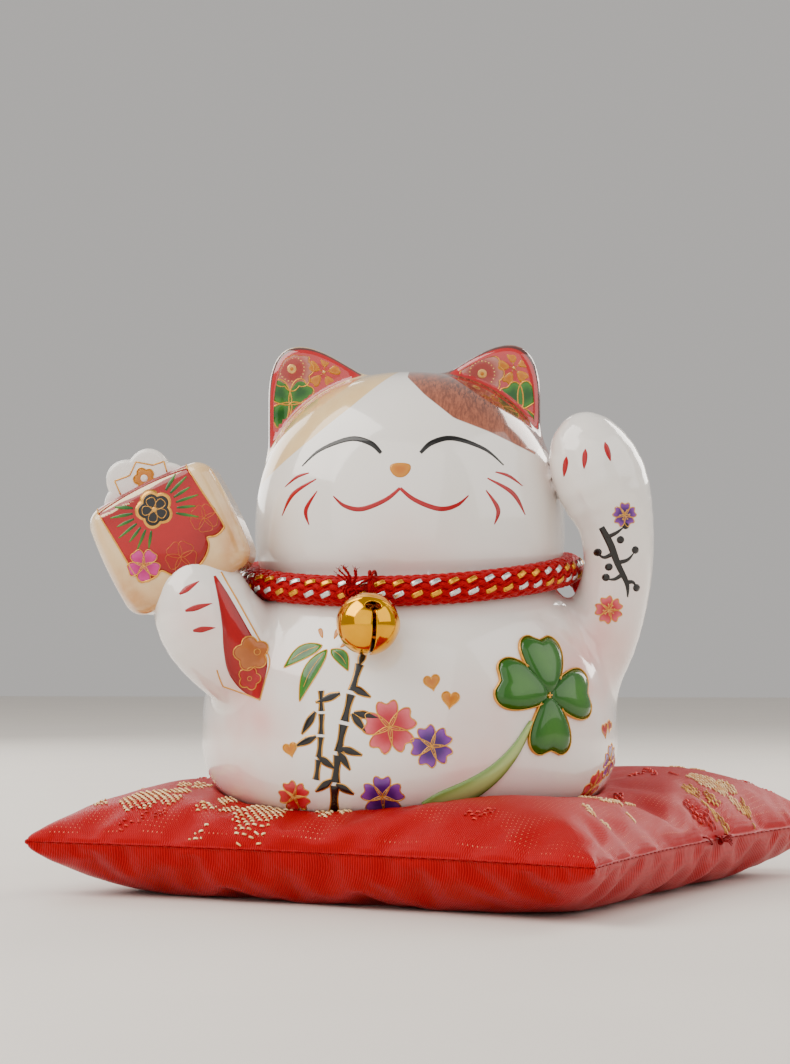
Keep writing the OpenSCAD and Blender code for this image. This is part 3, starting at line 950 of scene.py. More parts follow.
# ---------------------------------------------------------------- stage, light and camera

CAMERA_TURN, CAMERA_DISTANCE = math.radians(4), 0.6
CAMERA_OVER_FOOT = 0.0405
CAMERA_TILT, CAMERA_PAN = math.atan(0.0432), math.atan(0.006)
LENS_PER_SENSOR = 2.3496
SENSOR = 36


def make_camera():
    """A long lens a little over the cat's foot, turned slightly to one side."""
    lens = bpy.data.cameras.new("camera")
    lens.lens, lens.sensor_width = LENS_PER_SENSOR * SENSOR, SENSOR
    camera = bpy.data.objects.new("camera", lens)
    bpy.context.scene.collection.objects.link(camera)
    back = Vector((math.sin(CAMERA_TURN), -math.cos(CAMERA_TURN), 0)) * CAMERA_DISTANCE
    camera.location = Vector(FOOT * MM) + back + Vector((0, 0, CAMERA_OVER_FOOT))
    camera.rotation_euler = (math.pi / 2 + CAMERA_TILT, 0, CAMERA_TURN + CAMERA_PAN)
    bpy.context.scene.camera = camera


LIT_SPOT = Vector((0, 0, 0.07))

# Name, power, width, height, place, tint
LAMPS = [
    ("key", 17, 1.0, 1.0, (-0.8, -0.3, 0.95), (1, 0.96, 0.9)),
    ("front", 20, 2.6, 2.2, (-0.5, -1.9, 0.9), (1, 0.97, 0.93)),
    ("fill", 5, 1.1, 0.9, (0.9, -0.35, 0.6), (1, 0.97, 0.94)),
    ("rim", 4.5, 0.35, 0.5, (0.5, 0.5, 0.45), (1, 0.95, 0.88)),
    ("back", 2.5, 0.5, 0.5, (-0.45, 0.6, 0.4), (1, 0.97, 0.93)),
]


def add_light(name, energy, width, height, at, tint):
    """A soft box that points at the cat."""
    lamp = bpy.data.lights.new(name, "AREA")
    lamp.energy, lamp.color = energy, tint
    lamp.shape, lamp.size, lamp.size_y = "RECTANGLE", width, height
    holder = bpy.data.objects.new(name, lamp)
    bpy.context.scene.collection.objects.link(holder)
    holder.location = at
    holder.rotation_euler = (LIT_SPOT - Vector(at)).to_track_quat("-Z", "Y").to_euler()


def make_stage():
    """A pale studio with soft lamps and a plain floor."""
    world = bpy.data.worlds.new("studio")
    bpy.context.scene.world = world
    world.use_nodes = True
    sky = world.node_tree.nodes["Background"]
    sky.inputs["Color"].default_value = (0.93, 0.90, 0.87, 1)
    sky.inputs["Strength"].default_value = 0.55
    for lamp in LAMPS:
        add_light(*lamp)
    mesh = bpy.data.meshes.new("floor")
    mesh.from_pydata([(-2, -2, 0), (2, -2, 0), (2, 2, 0), (-2, 2, 0)], [], [(0, 1, 2, 3)])
    floor = bpy.data.objects.new("floor", mesh)
    bpy.context.scene.collection.objects.link(floor)
    pale = Look("floor_pale", colour(226, 220, 212), 0.6)
    pale.paint(pale.mix(pale.noise(60, 2), colour(228, 222, 214), colour(222, 216, 208)))
    mesh.materials.append(pale.mat)


# ---------------------------------------------------------------- painted decoration

def from_centre(centre, radius):
    """Shade that runs from 0 at a flower's middle to 1 at its edge."""

    def tone(spots):
        return np.clip(np.linalg.norm(spots - np.asarray(centre, float), axis=1) / radius, 0, 1)

    return tone


def blossom(paint, canvas, at, radius, petals, turn=0.0, line=0.26, notch=0.17, dots=5, lift=0.07):
    """A five-petalled blossom with piped gold edges and stamens."""
    width = 0.8
    for k in range(5):
        angle = turn + 72 * k
        shape = leaf_outline(radius, width * radius, notch)
        middle = spoke(at, 0.55 * radius, angle)
        shape = turned(shape, angle, at)
        paint.patch(petals, canvas, shape, middle, lift, 5, tone=from_centre(at, radius))
        paint.stroke("gold", canvas, shape[::2], line, lift + 0.08, 3, closed=True)
    for k in range(dots):
        angle = turn + 36 + 360 / dots * k
        stalk = turned([[0, 0.05 * radius], [0, 0.34 * radius]], angle, at)
        paint.stroke("pale_gold", canvas, stalk, 0.16, lift + 0.12, 2)
        tip = spoke(at, 0.38 * radius, angle)
        paint.patch("pale_gold", canvas, ring_outline(0.22, tip, 8), tip, lift + 0.14, 2)


def ring_outline(radius, at=(0, 0), points=24, lobes=0, depth=0.0, turn=0.0):
    """A circle, or a scalloped one with so many lobes."""
    t = circle(points)
    r = radius * (1 - depth * (1 - np.abs(np.cos(lobes * t / 2)))) if lobes else radius * np.ones(points)
    angle = t + math.radians(turn)
    return np.stack([at[0] + r * np.cos(angle), at[1] + r * np.sin(angle)], axis=1)


def heart(paint, canvas, at, size, fill="ochre", line=0.26, turn=0.0):
    t = circle(28)
    x = 0.52 * size * np.sin(t) ** 3
    z = 0.035 * size * (13 * np.cos(t) - 5 * np.cos(2 * t) - 2 * np.cos(3 * t) - np.cos(4 * t))
    shape = turned(np.stack([x, z], axis=1), turn, at)
    paint.patch(fill, canvas, shape, at, 0.07, 4)
    paint.stroke("gold", canvas, shape, line, 0.14, 2, closed=True)


def blade(paint, canvas, root, tip, width, fill, line=0.24, bend=0.0, vein=True, lift=0.07):
    """A slim pointed leaf with a gold edge and a vein."""
    root, tip = np.asarray(root, float), np.asarray(tip, float)
    along, t = tip - root, np.linspace(0, 1, 13)
    side = np.array([-along[1], along[0]]) / np.linalg.norm(along)
    line_mid = root + t[:, None] * along + side * (bend * np.sin(math.pi * t))[:, None]
    half = width / 2 * np.sin(math.pi * t ** 0.8) ** 0.9
    shape = np.concatenate([line_mid + side * half[:, None], (line_mid - side * half[:, None])[-2:0:-1]])
    middle = line_mid[5]
    paint.patch(fill, canvas, shape, middle, lift, 5)
    paint.stroke("gold", canvas, shape, line, lift + 0.08, 2, closed=True)
    if vein:
        paint.stroke("gold", canvas, line_mid[1:-2:2], 0.16, lift + 0.08, 2)


def clover(paint, canvas, at, length, turns, fill, line=0.3, width=0.86, dome=0.0, lift=0.08):
    """A four-leaved clover with piped edges; dome raises each leaf."""
    for turn in turns:
        shape = turned(leaf_outline(length, width * length, 0.1), turn - 90, at)
        middle = spoke(at, 0.55 * length, turn - 90)
        paint.patch(fill, canvas, shape, middle, lift, 9, dome)
        paint.stroke("gold", canvas, shape, line, lift + 0.1, 2, closed=True)


def chrysanthemum(paint, canvas, at, radius):
    """A scalloped bloom with a ring of dots round a gold eye."""
    shape = ring_outline(radius, at, 64, 8, 0.16)
    paint.patch("dusty", canvas, shape, at, 0.07, 7, tone=from_centre(at, radius))
    paint.stroke("gold", canvas, shape, 0.3, 0.15, 1, closed=True)
    for k in range(22):
        dot = spoke(at, 0.56 * radius, 360 / 22 * k)
        paint.dot("pale_gold", canvas, 0.055 * radius, dot, 7, 0.13, 1)
    paint.dot("pale_gold", canvas, 0.24 * radius, at, 16, 0.13, 3)
    paint.dot("ochre", canvas, 0.13 * radius, at, 12, 0.18, 2)


def gold_blossom(paint, canvas, at, radius, turn=0.0):
    """Five separate gold petals round a dot."""
    for k in range(5):
        shape = turned(leaf_outline(0.72 * radius, 0.62 * radius, 0.14, 20), turn + 72 * k)
        shape = shape + spoke(at, 0.28 * radius, turn + 72 * k)
        paint.patch("ochre", canvas, shape, shape.mean(0), 0.08, 3)
        stalk = turned([[0, 0.08 * radius], [0, 0.36 * radius]], turn + 72 * k, at)
        paint.stroke("ochre", canvas, stalk, 0.18, 0.09, 2)
    paint.dot("pale_gold", canvas, 0.1 * radius, at, 10, 0.12, 2)


def paint_face(paint, body):
    """Closed smiling eyes, a nose, a mouth and three whisker strokes a side."""
    canvas = Canvas(body, (0, -40, 0), (0, -1, 0))
    eye = [(-23.3, 80.7, 0.3), (-19, 84.3, 0.75), (-11.9, 86.7, 1.15), (-7.1, 85.6, 1.2), (-4.5, 83.2, 0.8)]
    whiskers = [
        [(-27.6, 76, 0.2), (-24.5, 78.2, 0.7), (-21.5, 79, 0.3)],
        [(-28.2, 69.3, 0.2), (-25.4, 74.2, 1.0), (-19.7, 77.5, 0.3)],
        [(-21.3, 66.9, 0.2), (-22.1, 70.4, 1.0), (-19.4, 74.7, 0.25)],
    ]
    strokes = [(eye, "ink")] + [(w, "stroke_red") for w in whiskers]
    for side in (-1, 1):
        for rows, tone in strokes:
            rows = np.array(rows) * (-side, 1, 1)
            paint.stroke(tone, canvas, rows[:, :2], rows[:, 2], 0.07, 8)
    mouth = [(15.5, 73.4, 0.25), (12.8, 71.1, 0.85), (8.8, 70.3, 1.1), (3.4, 72.3, 1.0), (0, 75, 0.7)]
    for side in (-1, 1):
        rows = np.array(mouth) * (side, 1, 1)
        paint.stroke("stroke_red", canvas, rows[:, :2], rows[:, 2], 0.07, 8)
    t = circle(36)
    nose_w, nose_h, nose_z = 2.4, 1.85, 79.4
    c, s = np.cos(t), np.sin(t)
    x = nose_w * np.sign(c) * np.abs(c) ** 0.85 * (1 + 0.16 * s)
    z = nose_z + nose_h * np.where(s > 0, 0.8 * np.abs(s) ** 0.7, -1.05 * np.abs(s) ** 1.15)
    paint.patch("ochre", canvas, np.stack([x, z], axis=1), (0, nose_z), 0.1, 5)


def in_the_ear(spots):
    """Draws spots that lie past the ear's edge back inside it."""
    spots = np.array(spots, float)
    for _ in range(4):
        p = np.stack([spots[:, 0], np.full(len(spots), EAR_Y), spots[:, 1]], axis=1)
        over = np.maximum(ear_outline(p) + 1.5, 0)
        spots = spots - over[:, None] * gradient(ear_outline, p)[:, [0, 2]]
    return spots


def paint_ears(paint, plate):
    """Blossoms, a chrysanthemum and a clover on each ear's red front."""
    canvas = Canvas(plate, (0, -12, 0), (0, -1, 0), keep=in_the_ear)
    for side, chrys, gold, leaf, turns in (
        (-1, (-28, 105.4), (-20.3, 104.6), (-28.4, 97.1), (48, 135, 228, 318)),
        (1, (17.6, 103.9), (25.2, 105.2), (26.8, 95.6), (62, 122, 190, 292)),
    ):
        chrysanthemum(paint, canvas, chrys, 5.3)
        gold_blossom(paint, canvas, gold, 4.2, 8 * side)
        clover(paint, canvas, leaf, 6.6, turns, "bright_leaf", 0.34, 0.84)
        root = (leaf[0] + 0.3 * side, leaf[1] - 0.5)
        stem = [root, (leaf[0] + 0.8 * side, leaf[1] - 4), (leaf[0] + 2.6 * side, leaf[1] - 8)]
        paint.stroke("gold", canvas, stem, (0.3, 0.5, 0.75), 0.13, 4)


def bamboo(paint, canvas, low, high, width, joints, bend):
    """An ink cane of jointed lengths with a gold edge."""
    low, high = np.asarray(low, float), np.asarray(high, float)
    along = high - low
    side = np.array([-along[1], along[0]]) / np.linalg.norm(along)

    def at(t):
        return low + along * t + side * bend * math.sin(math.pi * t)

    for k in range(joints):
        t0, t1 = (k + 0.06) / joints, (k + 0.94) / joints
        rows = [at(t0), at(t0 + 0.03), at((t0 + t1) / 2), at(t1 - 0.03), at(t1)]
        wide = np.array([1.25, 1.0, 0.8, 1.0, 1.25]) * width * (1 - 0.25 * k / joints)
        paint.stroke("gold", canvas, rows, wide + 0.55, 0.06, 4)
        paint.stroke("ink", canvas, rows, wide, 0.12, 4)


def ink_leaf(paint, canvas, root, angle, length, width=1.5):
    """One brushed leaf of the bamboo."""
    root = np.asarray(root, float)
    tip = root + length * np.array([math.cos(math.radians(angle)), math.sin(math.radians(angle))])
    rows = [root, root + 0.35 * (tip - root), root + 0.7 * (tip - root), tip]
    wide = np.array([0.3, 1.0, 0.7, 0.06]) * width
    paint.stroke("gold", canvas, rows, wide + 0.5, 0.06, 4)
    paint.stroke("ink", canvas, rows, wide, 0.12, 4)


def paint_belly(paint, body):
    """Bamboo, blossoms and hearts on the front, and a few on the side."""
    canvas = Canvas(body, (0, -52, 0), (0, -1, 0))
    blade(paint, canvas, (-17.1, 39.3), (-26, 34.2), 3.2, "bright_leaf", bend=-0.9)
    blade(paint, canvas, (-15.9, 38.4), (-22, 26.7), 3.4, "bright_leaf", bend=-1.0)
    blade(paint, canvas, (-15, 38.4), (-10.9, 33.6), 3.0, "bright_leaf", bend=0.8)
    for x, z, lean in ((-17.1, 42.1, 20), (-14.4, 41.9, -20), (-12.9, 40, -50)):
        drop = turned(leaf_outline(2.4, 1.1, 0.0, 14), lean, (x, z - 1.2))
        paint.patch("ochre", canvas, drop, drop.mean(0), 0.08, 3)
    bamboo(paint, canvas, (-14.6, 1.5), (-8.2, 35.5), 1.7, 5, 0.9)
    bamboo(paint, canvas, (-18.2, 9), (-17, 29.5), 1.15, 4, -0.7)
    for root, angle, length in (
        ((-12.6, 28.6), 200, 6), ((-10.2, 30.2), -28, 5.2), ((-9.4, 24.4), -12, 5.6),
        ((-9.9, 24.2), -52, 5.2), ((-18.2, 24.5), 238, 6), ((-18, 19), 205, 5.4),
        ((-17.6, 14.6), -35, 5), ((-12.6, 16.6), -18, 5.4), ((-12.9, 15.8), -58, 5),
        ((-14.4, 9.4), 215, 5), ((-13.6, 8.4), -30, 4.6), ((-8.4, 35), 70, 4.2),
    ):
        ink_leaf(paint, canvas, root, angle, length)
    heart(paint, canvas, (7.9, 31.2), 3.5, turn=12)
    heart(paint, canvas, (12, 27.4), 3.8, turn=-6)
    heart(paint, canvas, (-24.1, 16.1), 3.2, turn=14)
    blossom(paint, canvas, (-1.4, 21.2), 6.2, "rose", 8)
    blossom(paint, canvas, (7.9, 17), 4.9, "purple", 20)
    blossom(paint, canvas, (-3.2, 5.6), 5.0, "purple", 0)
    blossom(paint, canvas, (-23.6, 5.2), 3.9, "red_bloom", 20)
    side = Canvas(body, (60, -24, 16), (0.86, -0.5, 0))
    for x, z, size, turn in ((-1.5, 3.8, 3.4, 10), (1.8, 4.6, 2.8, -20)):
        heart(paint, side, (x, z), size, "stroke_red", turn=turn)
    blossom(paint, side, (3, -3.6), 4.2, "purple", 12)
    blossom(paint, side, (-2.4, -9.6), 4.4, "red_bloom", 30)


def paint_arms(paint, body):
    """Claws on both paws, blossoms and a twig on the raised arm, and a red sash on the other."""
    front = Canvas(body, (0, -40, 0), (0, -1, 0))
    for x, z, lean in ((37.4, 80.4, 8), (41.9, 82, 4), (47.2, 83.7, -16)):
        rows = turned([(0, -2.2), (0, -0.6), (0, 1.2), (0, 2.4)], -lean, (x, z))
        paint.stroke("stroke_red", front, rows, (0.25, 1.1, 1.15, 0.2), 0.08, 5)
    for root, tip in (
        ((-49.9, 50.9), (-45.4, 53.9)), ((-48.4, 47.1), (-42.3, 48.8)), ((-46.6, 42.6), (-41.5, 43.3)),
    ):
        rows = np.linspace(root, tip, 4)
        paint.stroke("stroke_red", front, rows, (0.5, 1.35, 0.95, 0.12), 0.08, 5)
    arm = Canvas(body, (51, -26, 0), (0.12, -1, 0))
    blossom(paint, arm, (0.6, 69.3), 2.9, "purple", 0, 0.22, dots=6)
    blossom(paint, arm, (-2.4, 47.5), 3.3, "rose", 15, 0.24, dots=8)
    twig = [(-4.6, 66.5, 1.3), (-2.4, 62.5, 1.6), (-0.6, 58, 1.4), (1.6, 53.6, 1.1), (1.9, 50.4, 0.3)]
    rows = np.array(twig)
    paint.stroke("ink", arm, rows[:, :2], rows[:, 2], 0.1, 6)
    for shoot in (
        [(-3.3, 64.2), (-1.2, 65.2), (0.6, 66.6)], [(-1.6, 60.6), (-3.6, 59.6), (-5, 60.4)],
        [(-0.7, 58.4), (1.6, 59), (3.2, 60.8)], [(0.6, 55.8), (-1.2, 54.6), (-3, 54.6)],
        [(1.5, 53.8), (3, 53.9), (4, 52.8)],
    ):
        paint.stroke("ink", arm, shoot, (1.05, 0.8, 0.2), 0.1, 5)
    for x, z in ((0.9, 66.9), (-5.1, 60.8), (3.4, 61.3), (-3.2, 55), (-0.2, 63.6), (-2.6, 57.4), (4, 52.6)):
        paint.dot("ink", arm, 0.9, (x, z), 12, 0.11, 2)
    left = [(-42.4, 55), (-41, 49.6), (-40, 43.6), (-39.7, 38), (-38.8, 33), (-36.2, 29.2), (-32.4, 27.1)]
    right = [(-41.9, 55.1), (-39.2, 51.2), (-35.9, 45.6), (-33.2, 40.9), (-30.2, 36), (-30.6, 31.6),
             (-31.7, 27.3)]
    sash = Canvas(body, (0, -44, 0), (0, -1, 0))
    paint.band("sash_red", sash, left, right, 0.16, 16, 6)
    for line in (
        [(-40.9, 56), (-37.6, 50.6), (-34.4, 45), (-31.6, 40), (-29.5, 35.9), (-30.4, 31.5), (-31.6, 26.9)],
        [(-31.6, 26.9), (-36, 28.4), (-40.4, 29.9)],
        [(-40.4, 29.9), (-41, 31.6), (-41.5, 33.7)],
    ):
        paint.stroke("gold", sash, line, 0.34, 0.15, 5)
    for tone, at, radius, points, turn, rings, line, eye_at, eye_radius, eye_line in (
        ("ochre_brown", (-33.6, 37.4), 4, 40, 30, 10, 0.32, (-32.4, 37.8), 0.7, 0.24),
        ("stroke_red", (-34.1, 31.8), 2.7, 30, 0, 8, 0.28, (-34.1, 31.8), 0.5, 0.22),
    ):
        plum = ring_outline(radius, at, points, 5, 0.26, turn)
        paint.patch(tone, sash, plum, at, 0.27, rings)
        paint.stroke("gold", sash, plum, line, 0.34, 1, closed=True)
        paint.stroke("gold", sash, ring_outline(eye_radius, eye_at, 10), eye_line, 0.36, 1, closed=True)


CLOVER_AT = (33, -33, 28)
CLOVER_TURN = math.radians(40)


def paint_clover(paint, body):
    """The raised clover: four domed leaves, piped gold, with a broad pale stem."""
    out = (math.sin(CLOVER_TURN), -math.cos(CLOVER_TURN), 0)
    canvas = Canvas(body, CLOVER_AT, out)
    clover(paint, canvas, (0, 0), 13.7, (1, 89, 164, 269), "clover_green", 0.42, 0.86, dome=1.0, lift=0.75)
    front = Canvas(body, (0, -52, 0), (0, -1, 0))
    mid = np.array([(29.6, 22.3), (26.4, 16.4), (22, 11.4), (16.6, 7.6), (10.2, 4.4), (6.6, 2.4)])
    rows = smooth_line(np.column_stack([mid, [0.8, 2.2, 3.4, 4.4, 5.0, 4.6]]), 4)
    ahead = unit(np.gradient(rows[:, :2], axis=0))
    side = np.stack([-ahead[:, 1], ahead[:, 0]], axis=1) * rows[:, 2:] / 2
    # The stem is lighter along its middle and darker at both edges: painted shading of the rounded stem.
    paint.band("stem_green", front, rows[:, :2] + side, rows[:, :2] - side, 1.0, 10, 1)


def paint_mallet(paint, block, fan_front):
    """A gold-edged red flap over the block's top with rays and blossoms, and gold lines on the fan."""
    shifted = from_mallet([[0, -MALLET_HALF[1] - 1, 0]])[0]
    lean = math.degrees(MALLET_LEAN)
    face = Canvas(block, shifted, (0, -1, 0), turn=lean)
    top, left, right, deep = 12.7, -11.2, 11.8, 8.2
    scallops = [(-9.2, -6.2), (-7.6, -7.4), (-5.2, -7.6), (-3.4, -6.9), (-1.6, -9), (1, -10), (4.4, -9.8),
                (7.4, -8.2), (9, -6.2), (9.3, -4.7), (11.2, -5.2), (13.2, -4.6), (13.9, -3.2)]
    spread = np.linspace(left, right, len(scallops))
    high = [(x, top) for x in spread]
    paint.band("flap_red", face, high, scallops, 0.12, 14, 3)
    edge = [(left, top), (-10.2, 3.5), *scallops, (12.8, 5), (right, top)]
    paint.stroke("gold", face, edge, 0.42, 0.24, 3)
    up = from_mallet([[0, 0, 1]])[0] - MALLET_AT
    roof = Canvas(block, from_mallet([[0, 0, MALLET_HALF[2] + 1]])[0], up, up=(0, 1, 0))
    paint.band("flap_red", roof, [(x, -deep) for x in spread], [(x, deep) for x in spread], 0.12, 14, 3)
    for x in (left, right):
        paint.stroke("gold", roof, [(x, -deep), (x, 0), (x, deep)], 0.42, 0.24, 5)
    centre = (1.2, 6.4)
    for k, angle in enumerate([*range(-38, 64, 15), *range(118, 252, 15)]):
        t = math.radians(angle)
        reach = 9.6 if k % 2 else 10.6
        ray = [(centre[0] + r * math.cos(t), centre[1] + 0.92 * r * math.sin(t)) for r in (5.2, 7.4, reach)]
        if max(z for _, z in ray) < top - 0.3:
            paint.stroke("bright_leaf", face, ray, (0.55, 0.95, 0.3), 0.2, 4)
    emblem = ring_outline(5.0, centre, 60, 5, 0.2, 90)
    paint.patch("gold", face, emblem, centre, 0.2, 5)
    paint.patch("ink", face, ring_outline(4.35, centre, 60, 5, 0.22, 90), centre, 0.28, 5)
    for k in range(5):
        petal = turned(leaf_outline(2.9, 2.1, 0.0, 18), 72 * k, centre)
        paint.stroke("gold", face, petal, 0.24, 0.36, 2, closed=True)
    paint.dot("gold", face, 0.75, centre, 14, 0.38, 3)
    blossom(paint, face, (-6.6, -4.0), 3.9, "pink_bloom", 10, 0.26, 0.06, lift=0.2)
    for at, size in (((2, -6), 3.6), ((10.6, -0.4), 3.2)):
        for k in range(5):
            petal = turned(leaf_outline(size, size, 0.05, 18), 72 * k + 20, at)
            paint.stroke("faint_gold", face, petal, 0.16, 0.18, 2, closed=True)
    fan = Canvas(fan_front, from_mallet([[0, -4, MALLET_HALF[2] - 2.5]])[0], (0, -1, 0), turn=lean)
    zigzag = [(-5.4, 2.4), (-5.3, 5.9), (-1.6, 5.5), (1.1, 7.7), (4.3, 5.3), (7.0, 4.9), (6.6, 2.4)]
    for a, b in zip(zigzag[:-1], zigzag[1:]):
        paint.stroke("gold", fan, [a, b], 0.36, 0.14, 4)
    plum = ring_outline(2.6, (1.2, 3.4), 40, 5, 0.24, 90)
    paint.patch("ochre", fan, plum, (1.2, 3.4), 0.12, 4)
    paint.stroke("gold", fan, plum, 0.26, 0.2, 1, closed=True)
    paint.dot("fan_white", fan, 1.0, (1.2, 3.4), 14, 0.2, 3)


# Layer: material, slot, colour at the middle and at the edge, and where one turns into the other
ENAMELS = {
    "ink": ("ink_enamel", "white_glaze", (22, 20, 20), (14, 13, 13)),
    "stroke_red": ("red_enamel", "white_glaze", (160, 2, 12), (172, 4, 16)),
    "sash_red": ("sash_enamel", "white_glaze", (164, 0, 8), (138, 0, 5)),
    "flap_red": ("flap_enamel", "cream_glaze", (172, 0, 4), (142, 0, 3)),
    "ochre": ("ochre_enamel", "white_glaze", (190, 108, 6), (206, 136, 30)),
    "ochre_brown": ("brown_enamel", "white_glaze", (170, 92, 36), (182, 104, 44)),
    "rose": ("rose_enamel", "white_glaze", (178, 4, 34), (226, 104, 116), 0.3, 1.0),
    "pink_bloom": ("pink_enamel", "white_glaze", (178, 12, 106), (206, 48, 142)),
    "purple": ("purple_enamel", "white_glaze", (62, 8, 104), (142, 70, 176), 0.35, 1.0),
    "red_bloom": ("red_bloom_enamel", "white_glaze", (166, 4, 26), (214, 60, 70)),
    "dusty": ("dusty_enamel", "white_glaze", (160, 56, 52), (196, 140, 128), 0.4, 1.0),
    "bright_leaf": ("leaf_enamel", "green_glaze", (14, 82, 14), (66, 132, 38)),
    "clover_green": ("clover_enamel", "green_glaze", (58, 112, 34), (26, 82, 14), 0.15, 0.95),
    # Stem: the lighter middle and darker edges are painted shading of its rounded form.
    "stem_green": ("stem_enamel", "pale_green_glaze", (168, 190, 116), (98, 134, 54), 0.2, 1.0),
    "fan_white": ("fan_enamel", "white_glaze", (238, 234, 228), (238, 234, 228)),
}


def enamel_looks():
    """The material and slot of each layer of paint."""
    looks = {
        "gold": (gold_line_look("gold_line", GOLD), "gold_plate"),
        "pale_gold": (gold_line_look("pale_gold_line", colour(238, 204, 132)), "gold_plate"),
        "faint_gold": (gold_line_look("faint_gold_line", colour(196, 84, 46)), "gold_plate"),
    }
    for layer, (name, slot, middle, edge, *fade) in ENAMELS.items():
        looks[layer] = (enamel_look(name, colour(*middle), colour(*edge), *fade), slot)
    return looks


def paint_cat(body):
    looks = enamel_looks()
    for prefix, job, surfaces in (
        ("face", paint_face, [body]), ("ears", paint_ears, [on_field(ear)]), ("belly", paint_belly, [body]),
        ("arms", paint_arms, [body]), ("mallet", paint_mallet, [on_field(mallet), on_field(finial)]),
        ("clover", paint_clover, [body]),
    ):
        paint = Paint()
        job(paint, *surfaces)
        paint.finish(looks, prefix)
    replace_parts(bpy.data.objects["clover_clover_green"], "clover_relief")
    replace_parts(bpy.data.objects["clover_stem_green"], "clover_stem")


# ---------------------------------------------------------------- rope, knots and thread

def collar_line(count):
    """Evenly spaced points of the rope's middle line with the ways out from the neck and up."""
    t = np.linspace(0, 2 * math.pi, 2881)
    power = 2 / OVAL_N
    x = COLLAR_W * np.sign(np.cos(t)) * np.abs(np.cos(t)) ** power
    y = COLLAR_D * np.sign(np.sin(t)) * np.abs(np.sin(t)) ** power
    z = COLLAR_Z + y * math.sin(COLLAR_DIP) + x * math.sin(COLLAR_TIP) + SIDE_RISE * np.cos(t) ** 2
    line = np.stack([x, y * math.cos(COLLAR_DIP), z], axis=1)
    run = distance_along(line)
    at = np.linspace(0, run[-1], count, endpoint=False)
    line = np.stack([np.interp(at, run, line[:, k]) for k in range(3)], axis=1)
    ahead = heading(line, closed=True)
    out = unit(np.cross(ahead, [0, 0, 1]))
    return line, out, np.cross(out, ahead)


def flat_tube(layer, centre, radial, half_w, half_t, sides, closed, shade=0.0):
    """A strand with an oval section that lies flat on what is under it."""
    side = unit(np.cross(heading(centre, closed), radial))
    turn = circle(sides)
    flat = [half_w * math.cos(a) * side + half_t * math.sin(a) * radial for a in turn]
    rings = centre[:, None] + np.stack(flat, axis=1)
    across = np.tile(0.5 + 0.5 * np.cos(turn), len(centre))
    layer.add(rings, tube_faces(len(centre), sides, closed), shade, across)


def gusts(spread):
    """A random push in three directions."""
    return np.array([chance.gauss(0, spread) for _ in range(3)])


def braid(layer, line, out, up, radius, turns, closed, half_w, half_t, wave, ways=8, start=0.0):
    """A plain tubular braid: so many strands wind each way and pass over and under in turn."""
    n = len(line)
    share = np.arange(n) / (n if closed else n - 1)
    for way in (1, -1):
        high = radius + way * wave * np.cos(2 * math.pi * ways * turns * share)
        for k in range(ways):
            angle = start + 2 * math.pi * (k / ways + way * turns * share)
            radial = np.cos(angle)[:, None] * out + np.sin(angle)[:, None] * up
            strand = line + high[:, None] * radial
            flat_tube(layer, strand, radial, half_w, half_t, 6, closed, chance.random())


def fleck(layer, line, out, up, middle, length, angle, slope, radius, half_w):
    """A short flat piece of foil yarn that comes up between two strands."""
    n = len(line)
    steps = np.arange(-length, length + 1)
    at = (middle + steps) % n
    bend = angle + slope * steps
    high = radius - 0.38 * (np.abs(steps) / length) ** 4
    radial = np.cos(bend)[:, None] * out[at] + np.sin(bend)[:, None] * up[at]
    flat_tube(layer, line[at] + high[:, None] * radial, radial, half_w, 0.1, 8, False, chance.random())


def fuzz(layer, spots, ways, count, length, radius=0.05):
    """Loose fibres that stand off a rope or a thread's end."""
    for _ in range(count):
        k = chance.randrange(len(spots))
        way = unit(np.asarray(ways[k]) + gusts(0.6))
        curl = gusts(0.35)
        path = [spots[k] + way * length * t + curl * length * t * t for t in (0, 0.35, 0.7, 1)]
        layer.tube(smooth_line(path, 2), radius, 4)


def make_rope(yarn, gold, silver):
    """The braided neck rope with two rows of metallic flecks."""
    turns, ways = 5, 12
    count = turns * ways * 2 * 5
    line, out, up = collar_line(count)
    rope = Gathered()
    rope.tube(line, 2.75, 10, closed=True)
    braid(rope, line, out, up, ROPE_R - 0.62, turns, True, 0.74, 0.4, 0.22, ways, math.radians(27))
    fuzz(rope, line + out * (ROPE_R - 0.2), out, 90, 1.2, 0.035)
    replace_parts(rope.build("rope_braid", yarn, "cat"), "collar_rope")
    flecks = {"gold": Gathered(), "silver": Gathered()}
    per_fleck = count / (turns * ways)
    slope = 2 * math.pi * turns / count
    for k in range(turns * ways):
        for row, angle in enumerate((29, -16, 149)):
            tone = "gold" if (k + 2 * row) % 4 < 2 else "silver"
            fleck(flecks[tone], line, out, up, round(k * per_fleck), max(2, round(0.26 * per_fleck)),
                  math.radians(angle), slope, ROPE_R + 0.12, 0.56)
    flecks["gold"].build("rope_gold_flecks", gold, "cat")
    flecks["silver"].build("rope_silver_flecks", silver, "cat")


TUFT = 70  # loose yarns in a frayed end
GOLDEN = 0.618


